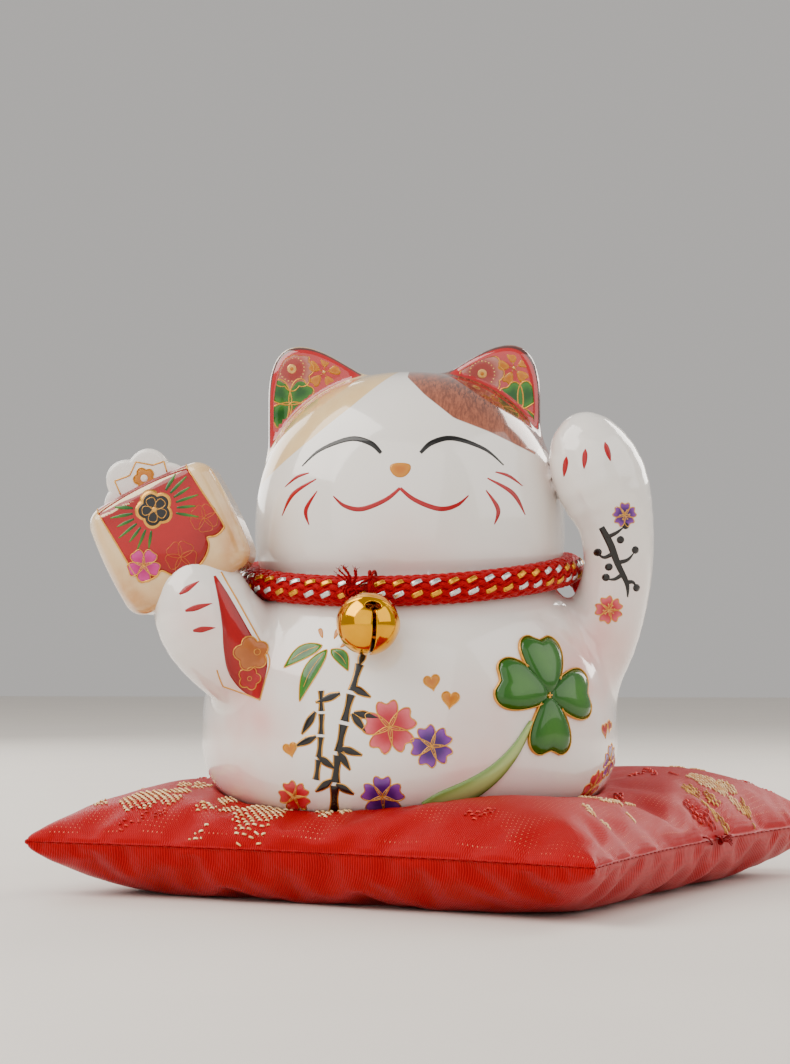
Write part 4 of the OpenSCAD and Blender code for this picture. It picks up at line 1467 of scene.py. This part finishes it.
def make_back_knot(yarn):
    """The rope's knot behind the raised arm and its two frayed ends."""
    line, out, up = collar_line(1440)
    angles = np.degrees(np.arctan2(line[:, 1] / COLLAR_D, line[:, 0] / COLLAR_W))
    k = int(np.argmin(np.abs(angles - KNOT_ANGLE)))
    middle, outward, above = line[k] + [2.6, 2.2, 0], out[k], up[k]
    ahead = np.cross(above, outward)
    x, y, z = (part[:, None] for part in trefoil(140))
    knot = Gathered()
    knot_line = middle + 1.15 * (x * ahead + 0.95 * y * above - 1.3 * z * outward)
    forward = heading(knot_line, closed=True)
    side = unit(np.cross(forward, outward + 0.2 * above))
    knot.tube(knot_line, 1.75, 12, closed=True)
    braid(knot, knot_line, side, np.cross(forward, side), 2.0, 5, True, 1.05, 0.42, 0.2, ways=5)
    fuzz(knot, knot_line + outward * 1.8, np.tile(outward, (len(knot_line), 1)), 40, 1.6, 0.04)
    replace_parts(knot.build("rope_knot", yarn, "cat"), "collar_back_knot")
    ends = Gathered()
    foot = line[k] + [4.2, 3.6, 0]
    for path in ([[0, 0, 0], [4, -3, -1], [7.4, -7, -3.6], [8.4, -11, -6.6]],
                 [[0, 0, 0], [-2, 5, -2], [-5, 7.6, -6], [-7, 7.6, -10.5]]):
        rows = foot + smooth_line(path, 40)
        a, b = frames(rows)
        ends.tube(rows, 2.3, 12)
        braid(ends, rows, a, b, 2.5, 0.45, False, 0.95, 0.45, 0.26)
        way = unit(rows[-1] - rows[-6])
        for n in range(TUFT):
            around = 2 * math.pi * n * GOLDEN
            wide = 2.7 * math.sqrt((n + 0.5) / TUFT)
            root = rows[-2] + wide * (math.cos(around) * a[-1] + math.sin(around) * b[-1])
            bent = way * (1.6 + chance.random() * 1.6) + 0.3 * (root - rows[-2])
            bent = bent + gusts(0.25)
            ends.tube(smooth_line([root - way, root, root + 0.6 * bent, root + bent], 2), 0.16, 5)
    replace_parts(ends.build("rope_frayed_ends", yarn, "cat"), "collar_rope_ends")


def twisted(layer, path, radius, closed=False, pitch=2.2, plies=2):
    """A thread of plies laid round each other."""
    path = np.asarray(path, float)
    if closed:
        ahead = heading(path, closed)
        side = unit(np.cross(ahead, [1.0, 0.02, 0.01]))
        other = np.cross(ahead, side)
        span = np.linalg.norm(np.roll(path, -1, 0) - path, axis=1).sum()
        share = np.arange(len(path)) / len(path)
    else:
        side, other = frames(path)
        span = np.linalg.norm(np.diff(path, axis=0), axis=1).sum()
        share = np.linspace(0, 1, len(path))
    turns = max(1, round(span / pitch))
    for k in range(plies):
        angle = 2 * math.pi * (turns * share + k / plies)
        ply = path + 0.5 * radius * (np.cos(angle)[:, None] * side + np.sin(angle)[:, None] * other)
        layer.tube(ply, 0.56 * radius, 7, closed)


BELL_X, BELL_R, BELL_T, BELL_REACH = -6, 7, 0.5, 13.2
EYE_LIFT = math.radians(34)
EYE_WAY = np.array([0, math.cos(EYE_LIFT), math.sin(EYE_LIFT)])
ROPE_FRONT = np.array([BELL_X, -36.34, 51.46])
BELL_AT = ROPE_FRONT - BELL_REACH * EYE_WAY


def make_threads(yarn):
    """The thread that ties the bell on, its knot in front of the rope and the spread ends."""
    across = np.cross([1, 0, 0], EYE_WAY)
    ring = Gathered()
    middle = ROPE_FRONT - 0.65 * EYE_WAY
    t = circle(120)
    for shift in (-0.36, 0.36):
        spread = 1 + 0.8 * np.clip(np.cos(t), -1, 1)
        path = middle + 4.85 * (-np.cos(t)[:, None] * EYE_WAY + np.sin(t)[:, None] * across)
        path[:, 0] += shift * (2 - spread)
        twisted(ring, path, 0.38, closed=True)
    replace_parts(ring.build("tie_thread", yarn, "cat"), "bell_tie_thread")
    knot_at = ROPE_FRONT + [-4.4, -4.2, -0.2]
    knot = Gathered()
    for size, lift, turn in ((0.62, 0.0, 0.0), (0.5, -0.5, 1.1)):
        x, z, y = trefoil(90, turn)
        path = knot_at + size * np.stack([x, 0.7 * y + lift, 0.85 * z], axis=1)
        twisted(knot, path, 0.5, closed=True)
    for path in ([[0.6, 0, 0], [2.2, -0.3, 0.7], [3.6, 0.5, 0.9], [4.5, 1.1, 0.6]],
                 [[0.4, 0, -0.6], [1.8, -0.2, -1.3], [3.2, 0.2, -1.5], [4.5, 0.6, -1.6]],
                 [[-0.4, 0, -0.5], [-0.9, -0.1, -1.2], [-0.4, -0.2, -2.0], [0.5, 0.1, -1.4]]):
        twisted(knot, knot_at + smooth_line(path, 8), 0.5)
    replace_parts(knot.build("thread_knot_tied", yarn, "cat"), "thread_knot")
    ends = Gathered()
    for tip in ((-3.0, -0.9, 3.3), (-2.7, -0.5, 4.3), (-1.7, -1.0, 4.9), (-1.3, -0.4, 4.7), (0.8, -0.8, 4.4),
                (1.2, -0.5, 4.3), (4.9, -0.7, 2.8), (4.4, -0.3, 2.2)):
        tip = np.array(tip)
        bend = 0.55 * tip + [0.12 * tip[2], -0.4, 0.25]
        path = knot_at + [0, 0, 0.6] + smooth_line([[0, 0, -0.6], 0.2 * tip, bend, tip], 7)
        twisted(ends, path, 0.26, pitch=1.3)
        way = unit(tip)
        fuzz(ends, [path[-1], path[-2]], [way, way], 9, 0.7, 0.04)
    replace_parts(ends.build("thread_frayed_ends", yarn, "cat"), "thread_ends")


# ---------------------------------------------------------------- the bell

SLIT_TURN = math.radians(17)
SLIT_END = math.radians(80)


def bell_shell(p):
    """Thin round shell with a crimp round its middle and a slit that ends in two wide holes."""
    q = p - BELL_AT
    r = np.linalg.norm(q, axis=1)
    h = q @ EYE_WAY
    crimp = 0.13 * np.exp(-(h / 0.3) ** 2)
    shell = np.abs(r - (BELL_R - BELL_T / 2) - crimp) - BELL_T / 2
    c, s = math.cos(SLIT_TURN), math.sin(SLIT_TURN)
    across = q[:, 0] * c + q[:, 1] * s
    ahead = q[:, 0] * s - q[:, 1] * c
    lift = np.arctan2(q[:, 2], ahead) + EYE_LIFT
    lift = (lift + math.pi) % (2 * math.pi) - math.pi
    past = (np.abs(lift) - SLIT_END) * BELL_R
    slit = smooth_max(np.abs(across) - 0.42, past, 0.3)
    hole = np.hypot(across * 0.68, past + 1.2) - 1.25
    slit = smooth_min(slit, hole, 0.35)
    return smooth_max(shell, -slit, 0.22)


def make_bell(brass):
    """The shell and the loop it hangs by."""
    reach = BELL_R + 0.8
    points, faces = skin(bell_shell, BELL_AT - reach, BELL_AT + reach, 0.15)
    shell = add_mesh("bell_shell", points, faces, brass, "bell")
    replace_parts(shell, "bell_upper_shell", "bell_lower_shell")
    loop = Gathered()
    t = circle(48)
    middle = BELL_AT + (BELL_R + 0.7) * EYE_WAY
    turned_loop = np.cos(t)[:, None] * [1, 0, 0] + np.sin(t)[:, None] * EYE_WAY
    loop.tube(middle + 1.2 * turned_loop, 0.4, 12, closed=True)
    for side in (-1, 1):
        root = BELL_AT + BELL_R * EYE_WAY + [side * 0.5, 0, 0]
        loop.tube(root + np.linspace(-0.6, 0.5, 4)[:, None] * EYE_WAY, (0.75, 0.62, 0.5, 0.42), 12)
    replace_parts(loop.build("bell_loop", brass, "bell"), "bell_eye")


# ---------------------------------------------------------------- the cushion

CUSHION_TURN = math.radians(-24)
CUSHION_SIDE, CUSHION_H, SEAM_Z, SIDE_PULL = 145, 26, 12.5, 5
CLOTH_T, EDGE_T = 0.6, 1
SEAT_GAP, SEAT_REACH = 0.4, 56
SEAM_GAP = 0.06
FOOT_EDGE = 1.6
SETTLE_FRAMES = 22
CLOTH_SCALE = 10  # the cloth is settled at ten times its size
SETTLE_REACH = 2.6  # no point of the cloth moves further than this


def cushion_to_world(p):
    c, s = math.cos(CUSHION_TURN), math.sin(CUSHION_TURN)
    return np.stack([p[..., 0] * c - p[..., 1] * s, p[..., 0] * s + p[..., 1] * c, p[..., 2]], axis=-1)


def world_to_cushion(p):
    c, s = math.cos(CUSHION_TURN), math.sin(CUSHION_TURN)
    return np.stack([p[..., 0] * c + p[..., 1] * s, -p[..., 0] * s + p[..., 1] * c, p[..., 2]], axis=-1)


# Soft humps and hollows of the filling under the top: x, y, reach, height in the cushion's frame
HUMPS = [
    (-50, -34, 24, 2.4), (40, -52, 17, 2.2), (54, 42, 24, 3.4), (-40, 50, 24, 2.4), (60, -14, 11, -2.6),
    (-8, -58, 20, -0.6), (64, 14, 9, 1.0), (0, 62, 22, -1.6), (-64, 16, 14, -1.0),
]

# Gathers that run in from the seam: a spot on the rim, the way in, width, depth
PUCKERS = [
    ((70, -58), (-1, 0.35), 3.2, 1.0), ((70, -46), (-1, 0.2), 3.6, 0.9), ((58, -70), (-0.25, 1), 3.4, 0.8),
    ((44, -69), (-0.1, 1), 4.0, 0.5), ((70, -28), (-1, 0.1), 4.0, 0.9), ((69, -8), (-1, -0.05), 4.4, 1.0),
    ((68, 4), (-1, -0.1), 3.4, 1.1), ((68, 17), (-1, -0.2), 3.4, 1.0), ((70, 36), (-1, -0.1), 4.2, 0.7),
    ((-70, -52), (1, 0.25), 4.0, 0.7), ((-58, -70), (0.3, 1), 4.0, 0.6), ((-34, -69), (0.1, 1), 5.0, 0.35),
    ((-69, -20), (1, 0), 5.0, 0.6), ((-69, 20), (1, 0.1), 5.0, 0.6), ((-68, 50), (1, -0.2), 4.0, 0.7),
    ((-30, 69), (0.1, -1), 5.0, 0.6), ((16, 68), (0, -1), 5.0, 0.7), ((52, 69), (-0.2, -1), 4.0, 0.8),
]


def cushion_face(n, side):
    """One face of the filled cushion as a grid in its own frame, and the cloth's flat places."""
    share = np.sin(np.linspace(-math.pi / 2, math.pi / 2, n + 1))
    u, v = np.meshgrid(share, share, indexing="ij")
    half = CUSHION_SIDE / 2
    plump = ((1 - np.abs(u) ** 2.6) * (1 - np.abs(v) ** 2.6)) ** 0.42
    rise = CUSHION_H - SEAM_Z - EDGE_T if side > 0 else -SEAM_Z - 3
    x = u * (half - SIDE_PULL * (1 - v * v))
    y = v * (half - SIDE_PULL * (1 - u * u))
    soft = plump ** 0.6
    z = np.full_like(x, SEAM_Z) + rise * plump
    if side > 0:
        for hx, hy, reach, high in HUMPS:
            z += high * soft * np.exp(-((x - hx) ** 2 + (y - hy) ** 2) / reach ** 2)
    edge_run = half * np.minimum(1 - np.abs(u), 1 - np.abs(v))
    ripple = np.zeros_like(x)
    for k, ((px, py), way, wide, deep) in enumerate(PUCKERS):
        way = np.array(way) / np.hypot(*way)
        ahead = (x - px) * way[0] + (y - py) * way[1]
        aside = -(x - px) * way[1] + (y - py) * way[0] + 0.05 * ahead * math.sin(k * 2.1)
        reach = np.exp(-(np.maximum(ahead, 0) / (9 + 3 * math.sin(k * 1.7))) ** 2)
        wave = np.exp(-(aside / wide) ** 2) - 0.65 * np.exp(-((np.abs(aside) - 1.9 * wide) / wide) ** 2)
        ripple -= deep * (1 if side > 0 else 0.7) * reach * wave
    fine = np.sin(x * 0.55 + 1.3 * np.sin(y * 0.23)) * np.sin(y * 0.51 + 1.1 * np.sin(x * 0.19))
    ripple += 0.28 * fine * np.exp(-(edge_run / 12) ** 2)
    z += side * ripple * np.minimum(edge_run / 3, 1)
    z = np.maximum(z, 0)
    seam_roll = EDGE_T * np.sqrt(np.clip(edge_run / 1.2, 0, 1))
    return np.stack([x, y, z + side * seam_roll], axis=-1), u * half, v * half


def foot(p):
    """The field of the cat's foot, without the limbs."""
    return smooth_max(torso(p), -p[:, 2], FOOT_EDGE)


def gapped_foot(p):
    return foot(p) - SEAT_GAP


def press_seat(points):
    """Pushes points of the top out of the cat's foot."""
    for _ in range(6):
        at = points - FOOT
        near = np.flatnonzero(np.hypot(at[:, 0], at[:, 1]) < SEAT_REACH)
        over = np.maximum(-gapped_foot(at[near]), 0)
        slope = gradient(gapped_foot, at[near])
        slope[:, :2] *= 0.35
        slope = unit(slope + [0, 0, -0.6])
        points[near] += over[:, None] * slope
    return points


def seam_ring(cols):
    """The points round a square grid's rim, in order."""
    n = cols - 1
    ring = [(i, 0) for i in range(n)] + [(n, j) for j in range(n)]
    ring += [(i, n) for i in range(n, 0, -1)] + [(0, j) for j in range(n, 0, -1)]
    return [i * cols + j for i, j in ring]


CLOTH = {
    "quality": 6, "mass": 0.3, "tension_stiffness": 25, "compression_stiffness": 25, "shear_stiffness": 12,
    "bending_stiffness": 12, "vertex_group_mass": "pins", "shrink_min": -0.012, "use_pressure": True,
    "uniform_pressure_force": 3,
}


def settle(top, bottom, n):
    """Lets both covers bulge and wrinkle as cloth that is sewn at the rim and held under the cat."""
    cols = n + 1
    m = cols * cols
    rim = seam_ring(cols)
    index = np.arange(2 * m)
    index[m + np.array(rim)] = rim
    points = np.concatenate([top, bottom])
    points[rim] = (top[rim] + bottom[rim]) / 2
    used = np.unique(index)
    back = np.full(2 * m, -1)
    back[used] = np.arange(len(used))
    grid = grid_faces(cols, cols, wrap_cols=False)
    faces = [tuple(back[i] for i in f[::-1]) for f in grid]
    faces += [tuple(back[index[m + i]] for i in f) for f in grid]
    mesh = bpy.data.meshes.new("cloth_form")
    spots = points[used] * MM * CLOTH_SCALE
    mesh.from_pydata(spots.tolist(), [], [tuple(int(i) for i in f) for f in faces])
    form = bpy.data.objects.new("cloth_form", mesh)
    bpy.context.scene.collection.objects.link(form)
    held = (foot(points[used] - FOOT) < 1.2) | (points[used][:, 2] < 0.15)
    held[back[rim]] = True
    pins = form.vertex_groups.new(name="pins")
    for k in np.flatnonzero(held):
        pins.add([int(k)], 1.0, "REPLACE")
    cloth = form.modifiers.new("cloth", "CLOTH")
    for key, value in CLOTH.items():
        setattr(cloth.settings, key, value)
    cloth.settings.effector_weights.gravity = 0
    cloth.collision_settings.use_collision = False
    scene = bpy.context.scene
    cloth.point_cache.frame_start, cloth.point_cache.frame_end = 1, SETTLE_FRAMES
    for number in range(1, SETTLE_FRAMES + 1):
        scene.frame_set(number)
    settled = form.evaluated_get(bpy.context.evaluated_depsgraph_get())
    moved = np.empty(len(used) * 3)
    settled.to_mesh().vertices.foreach_get("co", moved)
    moved = moved.reshape(-1, 3) / (MM * CLOTH_SCALE)
    settled.to_mesh_clear()
    scene.frame_set(1)
    bpy.data.objects.remove(form)
    shift = moved - points[used]
    far = np.linalg.norm(shift, axis=1, keepdims=True)
    points[used] += shift * np.minimum(1, SETTLE_REACH / np.maximum(far, 1e-6))
    points[m + np.array(rim)] = points[rim]
    points[:, 2] = np.maximum(points[:, 2], 0)
    return points[:m], points[m:]


def finer(grid, cols):
    """A grid of rows with twice the cells, rounded through its old points."""
    rows = grid.reshape(cols, cols, -1)
    for axis in (0, 1):
        rows = np.moveaxis(rows, axis, 0)
        pad = np.concatenate([2 * rows[:1] - rows[1:2], rows, 2 * rows[-1:] - rows[-2:-1]])
        mid = (9 * (pad[1:-2] + pad[2:-1]) - pad[:-3] - pad[3:]) / 16
        out = np.empty((2 * len(rows) - 1,) + rows.shape[1:])
        out[::2], out[1::2] = rows, mid
        rows = np.moveaxis(out, 0, axis)
    return rows.reshape(-1, rows.shape[-1])


def cover(name, mat, points, cols, side, flat):
    """A cover as a closed thin shell: the outer face, an inner face and the turned-in rim."""
    grid = points.reshape(cols, cols, 3)
    normal = np.cross(np.gradient(grid, axis=0), np.gradient(grid, axis=1))
    normal = side * unit(normal.reshape(-1, 3))
    inner = points - CLOTH_T * 0.8 * normal
    inner[:, 2] = np.clip(inner[:, 2], 0.25, None)
    m = cols * cols
    outer = [f[::-side] for f in grid_faces(cols, cols, wrap_cols=False)]
    faces = outer + [tuple(m + i for i in f[::-1]) for f in outer]
    rim = seam_ring(cols)
    for a, b in zip(rim, rim[1:] + rim[:1]):
        faces.append((a, b, m + b, m + a) if side > 0 else (b, a, m + a, m + b))
    marks = {"warp": np.tile(flat[:, 0], 2), "weft": np.tile(flat[:, 1], 2)}
    piece = add_mesh(name, np.concatenate([points, inner]) * MM, faces, mat, "cushion", marks, world=True)
    return piece


def make_cushion(brocade, satin):
    """Both covers; gives back the top's surface, for what is woven into it, and the rim."""
    n = 76
    top, warp, weft = cushion_face(n, 1)
    bottom, _, _ = cushion_face(n, -1)
    top, bottom = (cushion_to_world(p).reshape(-1, 3) for p in (top, bottom))
    top = press_seat(top)
    top, bottom = settle(top, bottom, n)
    cols = n + 1
    flat = np.stack([warp.ravel(), weft.ravel()], axis=1)
    top, bottom, flat = finer(top, cols), finer(bottom, cols), finer(flat, cols)
    cols = 2 * n + 1
    top = press_seat(top)
    bottom[:, 2] = np.maximum(bottom[:, 2], 0)
    rim = seam_ring(cols)
    seam = (top[rim] + bottom[rim]) / 2
    top[rim] = seam + [0, 0, SEAM_GAP]
    bottom[rim] = seam - [0, 0, SEAM_GAP]
    upper = cover("cushion_top", brocade, top, cols, 1, flat)
    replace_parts(upper, "cushion_top_cover", "cushion_filling")
    lower = cover("cushion_bottom", satin, bottom, cols, -1, flat)
    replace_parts(lower, "cushion_bottom_cover")
    return on_mesh(top - FOOT, grid_faces(cols, cols, wrap_cols=False)), seam - FOOT


def petal_shapes(kind):
    """The closed shapes of one woven motif, in millimetres about its middle."""
    if kind == "bloom":
        around = [turned([[0, 1.1]], 72 * k)[0] for k in range(5)]
        return [turned(leaf_outline(4.6, 3.9, 0.14, 20), 72 * k, around[k]) for k in range(5)]
    if kind == "round":
        discs = [ring_outline(2.4, (5.8, 3.4), 20), ring_outline(2.0, (6, -2), 20)]
        return [ring_outline(5.0, (0, 0), 40, 6, 0.2)] + discs
    if kind == "sprig":
        leaf = leaf_outline(5.2, 2.2, 0.0, 16)
        places = ((60, (0, 0)), (10, (1, 2)), (-50, (0, -1)), (100, (-1, -3)), (-90, (3, -1)), (35, (3, 4)))
    else:
        leaf = leaf_outline(3.4, 2.8, 0.1, 16)
        places = ((20, (0, 0)), (140, (1, 1)), (-100, (1, -1)))
    return [turned(leaf, angle, at) for angle, at in places]


def inside_shape(spots, shape):
    """Which spots lie inside a closed outline."""
    x, y = spots.T
    hit = np.zeros(len(spots), bool)
    for (x0, y0), (x1, y1) in zip(shape, np.roll(shape, -1, 0)):
        crosses = (y0 > y) != (y1 > y)
        if crosses.any():
            hit ^= crosses & (x < (x1 - x0) * (y - y0) / (y1 - y0) + x0)
    return hit


# Woven motifs: x, y in the cushion's frame, kind, turn, size, tone
MOTIFS = [
    (-60, -60, "bits", 0, 0.8, "cream"), (-48, -59, "round", 15, 1.25, "cream"),
    (-45, -67, "sprig", 40, 0.9, "rose"), (-44, -44, "bloom", 10, 0.8, "cream"),
    (-26, -62, "sprig", 25, 1.25, "cream"), (-15, -62, "round", 70, 1.3, "cream"),
    (2, -57, "bloom", 30, 0.9, "cream"), (-63, -42, "sprig", 200, 0.9, "cream"),
    (-56, -20, "bloom", 45, 1.0, "rose"), (-60, 4, "round", 0, 1.0, "cream"),
    (-52, 26, "sprig", 80, 1.1, "cream"), (-58, 46, "bloom", 20, 1.0, "cream"),
    (-36, 50, "round", 30, 1.0, "rose"), (-18, 60, "sprig", 0, 1.0, "cream"),
    (6, 56, "bloom", 50, 1.1, "cream"), (28, 60, "round", 10, 1.0, "cream"),
    (44, 50, "bloom", 25, 1.15, "cream"), (58, 58, "sprig", 60, 0.9, "rose"),
    (60, -46, "bits", 30, 1.0, "cream"), (58, -27, "sprig", 100, 1.15, "cream"),
    (50, -8, "bits", 0, 1.0, "rose"), (64, 6, "bits", 80, 1.1, "rose"),
    (62, 16, "bloom", 70, 1.1, "gold"), (58, 28, "round", 40, 1.1, "cream"),
    (66, 34, "bits", 10, 1.1, "gold"), (40, -62, "bits", 60, 0.9, "rose"),
    (46, 24, "sprig", 140, 0.9, "rose"),
]


ROW_PITCH, FLOAT_PITCH, FLOAT_GAP = 0.76, 1.9, 0.26
LONGEST_STEP = 1.6  # a thread with a longer step would hang over the cushion's rim


def weave_motifs(surface, looks):
    """Flowers and leaves of short metallic weft floats on the top cover."""
    warp_way = cushion_to_world(np.array([0.0, 1, 0]))
    canvas = Canvas(surface, (-FOOT[0], -FOOT[1], 6), (0, 0, 1), up=warp_way)
    threads = {tone: Gathered() for tone in looks}
    for mx, my, kind, turn, size, tone in MOTIFS:
        starts, ends = [], []
        for shape in petal_shapes(kind):
            shape = turned(np.asarray(shape) * size, turn, (mx, my))
            low, high = shape.min(0), shape.max(0)
            xs = np.arange(low[0] - 1, high[0] + 1, 0.2)
            for row in range(math.floor(low[1] / ROW_PITCH), math.ceil(high[1] / ROW_PITCH) + 1):
                y = row * ROW_PITCH
                inside = inside_shape(np.stack([xs, np.full(len(xs), y)], axis=1), shape)
                inside &= (xs / FLOAT_PITCH + 0.5 * (row % 2)) % 1 > FLOAT_GAP
                edges = np.flatnonzero(np.diff(np.concatenate([[0], inside.astype(int), [0]])))
                for a, b in zip(edges[::2], edges[1::2]):
                    if b - a >= 3:
                        starts.append((xs[a], y))
                        ends.append((xs[b - 1], y + chance.gauss(0, 0.08)))
        starts, ends = np.array(starts), np.array(ends)
        shares = (0, 0.25, 0.75, 1)
        spots = np.concatenate([starts + t * (ends - starts) for t in shares])
        hit, normal = canvas.drop(spots)
        rise = np.repeat([-0.1, 0.26, 0.26, -0.1], len(starts))[:, None]
        line = (hit + normal * rise).reshape(4, -1, 3)
        normal = normal.reshape(4, -1, 3)
        steps = np.linalg.norm(np.diff(line, axis=0), axis=2).max(axis=0)
        for k in range(len(starts)):
            shade = chance.random()
            if steps[k] < LONGEST_STEP:
                flat_tube(threads[tone], line[:, k], normal[:, k], 0.27, 0.16, 5, False, shade)
    for tone, mat in looks.items():
        threads[tone].build(f"brocade_{tone}", mat, "cushion")


STITCH_PITCH, STITCH_LENGTH = 2.6, 1.9


def sew_cushion(seam, yarn):
    """Running stitches in the seam and the hand-sewn place where the filling went in."""
    stitches = Gathered()
    run = distance_along(seam)
    middle = seam.mean(0)
    out = unit((seam - middle) * [1, 1, 0])
    edge = seam + out * 0.12
    for k in range(int(run[-1] / STITCH_PITCH)):
        at = np.linspace(k * STITCH_PITCH, k * STITCH_PITCH + STITCH_LENGTH, 5)
        path = np.stack([np.interp(at, run, edge[:, a]) for a in range(3)], axis=1)
        path[0] -= 0.4 * (path[2] - middle) / 70
        path[-1] -= 0.4 * (path[2] - middle) / 70
        stitches.tube(path, 0.17, 5)
    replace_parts(stitches.build("seam_stitches", yarn, "cushion"), "seam_cord")
    closing = Gathered()
    flat = world_to_cushion(seam + FOOT)
    side = np.flatnonzero((flat[:, 0] > 40) & (np.abs(flat[:, 1] - 10) < 8))
    for k in side[::4]:
        spot, way = edge[k], out[k]
        step = edge[(k + 2) % len(edge)] - edge[k]
        path = [spot - way + [0, 0, 1.0], spot + 0.3 * way + [0, 0, 0.8], spot + 0.5 * way + 0.5 * step,
                spot + 0.3 * way + step - [0, 0, 0.8], spot - way + step - [0, 0, 1.0]]
        closing.tube(smooth_line(path, 3), 0.2, 6)
    k = side[len(side) // 2]
    knot_at = edge[k] + out[k] * 0.5
    x, z, y = (part[:, None] for part in trefoil(60))
    beside = np.cross(out[k], [0, 0, 1])
    lump = 0.36 * (x * beside + z * [0, 0, 1] + y * out[k])
    closing.tube(knot_at + lump, 0.28, 7, closed=True)
    for _ in range(7):
        way = unit(out[k] * 1.2 + beside * chance.gauss(0, 0.7) + [0, 0, chance.gauss(0.3, 0.7)])
        rises = np.array([[0, 0, 0], [0, 0, 0], [0, 0, 0.3], [0, 0, -0.2]])
        path = knot_at + way * [[0], [1.1], [2.2], [3]] + rises
        closing.tube(smooth_line(path, 3), 0.14, 5)
    tuft = closing.build("closing_tuft", yarn, "cushion")
    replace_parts(tuft, "closing_stitches")


def brocade_look():
    """Red satin weave with fine ribs and a sprinkle of pale dots, partly pale weft and partly painted glints
    of the weave.
    """
    look = Look("red_brocade", DEEP_RED, 0.42, Sheen_Weight=0.1, Sheen_Roughness=0.3, Sheen_Tint=SHEEN_RED,
                Specular_IOR_Level=0.5, Specular_Tint=SHEEN_RED)
    warp, weft = look.value("warp"), look.value("weft")
    ribs = look.times(look.wave(warp, 0.55), look.wave(weft, 0.55))
    # Pale dots in a patchy grid: partly woven pale weft, partly painted glints of the satin.
    spots = [look.math("MAXIMUM", wave, 0) for wave in (look.wave(warp, 1.15), look.wave(weft, 0.9))]
    dots = look.times(*spots)
    dots = look.times(look.smooth(dots, 0.72, 0.95), look.smooth(look.noise(7, 2), 0.42, 0.62))
    red = look.mix(look.smooth(ribs, -0.6, 0.9), colour(138, 0, 8), colour(180, 0, 14))
    red = look.mix(look.times(look.noise(14, 2), 0.3), red, colour(122, 0, 6))
    look.paint(look.mix(dots, red, colour(240, 150, 110)))
    look.rough(look.noise(0.8, 3), 0.36, 0.52)
    return look.bump(look.plus(ribs, look.times(dots, 1.5)), 0.07, 0.6).mat


def satin_look():
    """Plain red satin with a fine slanting twill."""
    look = Look("red_satin", DEEP_RED, 0.36, Sheen_Weight=0.1, Sheen_Roughness=0.3, Sheen_Tint=SHEEN_RED,
                Specular_IOR_Level=0.55, Specular_Tint=SHEEN_RED)
    slant = look.plus(look.value("warp"), look.times(look.value("weft"), 0.8))
    twill = look.wave(slant, 0.62)
    cross = look.wave(look.value("warp"), 0.5)
    height = look.math("MULTIPLY_ADD", cross, 0.35, twill)
    red = look.mix(look.smooth(height, -0.8, 1.0), colour(138, 0, 8), colour(182, 0, 14))
    look.paint(look.mix(look.times(look.noise(18, 2), 0.3), red, colour(120, 0, 6)))
    look.rough(look.noise(1.0, 3), 0.3, 0.46)
    return look.bump(height, 0.06, 0.55).mat


def metallic_weft_look(name, light, dark):
    """Woven metallic yarn that takes a soft shine."""
    look = Look(name, light, 0.42, Metallic=0.35, Specular_IOR_Level=0.5)
    look.paint(look.mix(look.smooth(look.value("shade"), 0, 1), dark, light))
    look.rough(look.noise(0.4, 3), 0.32, 0.5)
    return look.bump(look.noise(0.2, 2), 0.03, 0.5).mat


def dress_carried_nodes():
    """Materials for the CAD nodes that are shown as they are."""
    for node, mat in (("bell_pellet", steel_look()), ("base_stopper", rubber_look())):
        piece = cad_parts[node]
        piece.data.materials.clear()
        piece.data.materials.append(mat)


# ---------------------------------------------------------------- the whole scene

make_camera()
make_stage()
white = glaze_look()
glazed_surface = make_glazed_cat(white)
make_mallet(mallet_look(), white)
paint_cat(glazed_surface)
red_yarn = yarn_look("red_braid_yarn", colour(190, 0, 18), colour(116, 0, 8))
tie_yarn = yarn_look("tie_yarn", colour(166, 0, 10), colour(84, 0, 4), 3.0, 0.06)
make_rope(red_yarn, foil_look("gold_foil", colour(240, 180, 50), colour(200, 120, 20)),
          foil_look("silver_foil", colour(236, 234, 232), colour(190, 186, 186)))
make_back_knot(red_yarn)
make_threads(tie_yarn)
make_bell(brass_look())
top_surface, seam_line = make_cushion(brocade_look(), satin_look())
weave_motifs(top_surface, {
    "cream": metallic_weft_look("cream_weft", colour(252, 226, 172), colour(230, 176, 110)),
    "rose": metallic_weft_look("rose_weft", colour(214, 52, 40), colour(176, 14, 18)),
    "gold": metallic_weft_look("gold_weft", colour(226, 176, 84), colour(176, 112, 36)),
})
sew_cushion(seam_line, yarn_look("seam_yarn", colour(140, 2, 10), colour(70, 0, 4), 3.0, 0.05))
dress_carried_nodes()

bpy.context.view_layer.update()
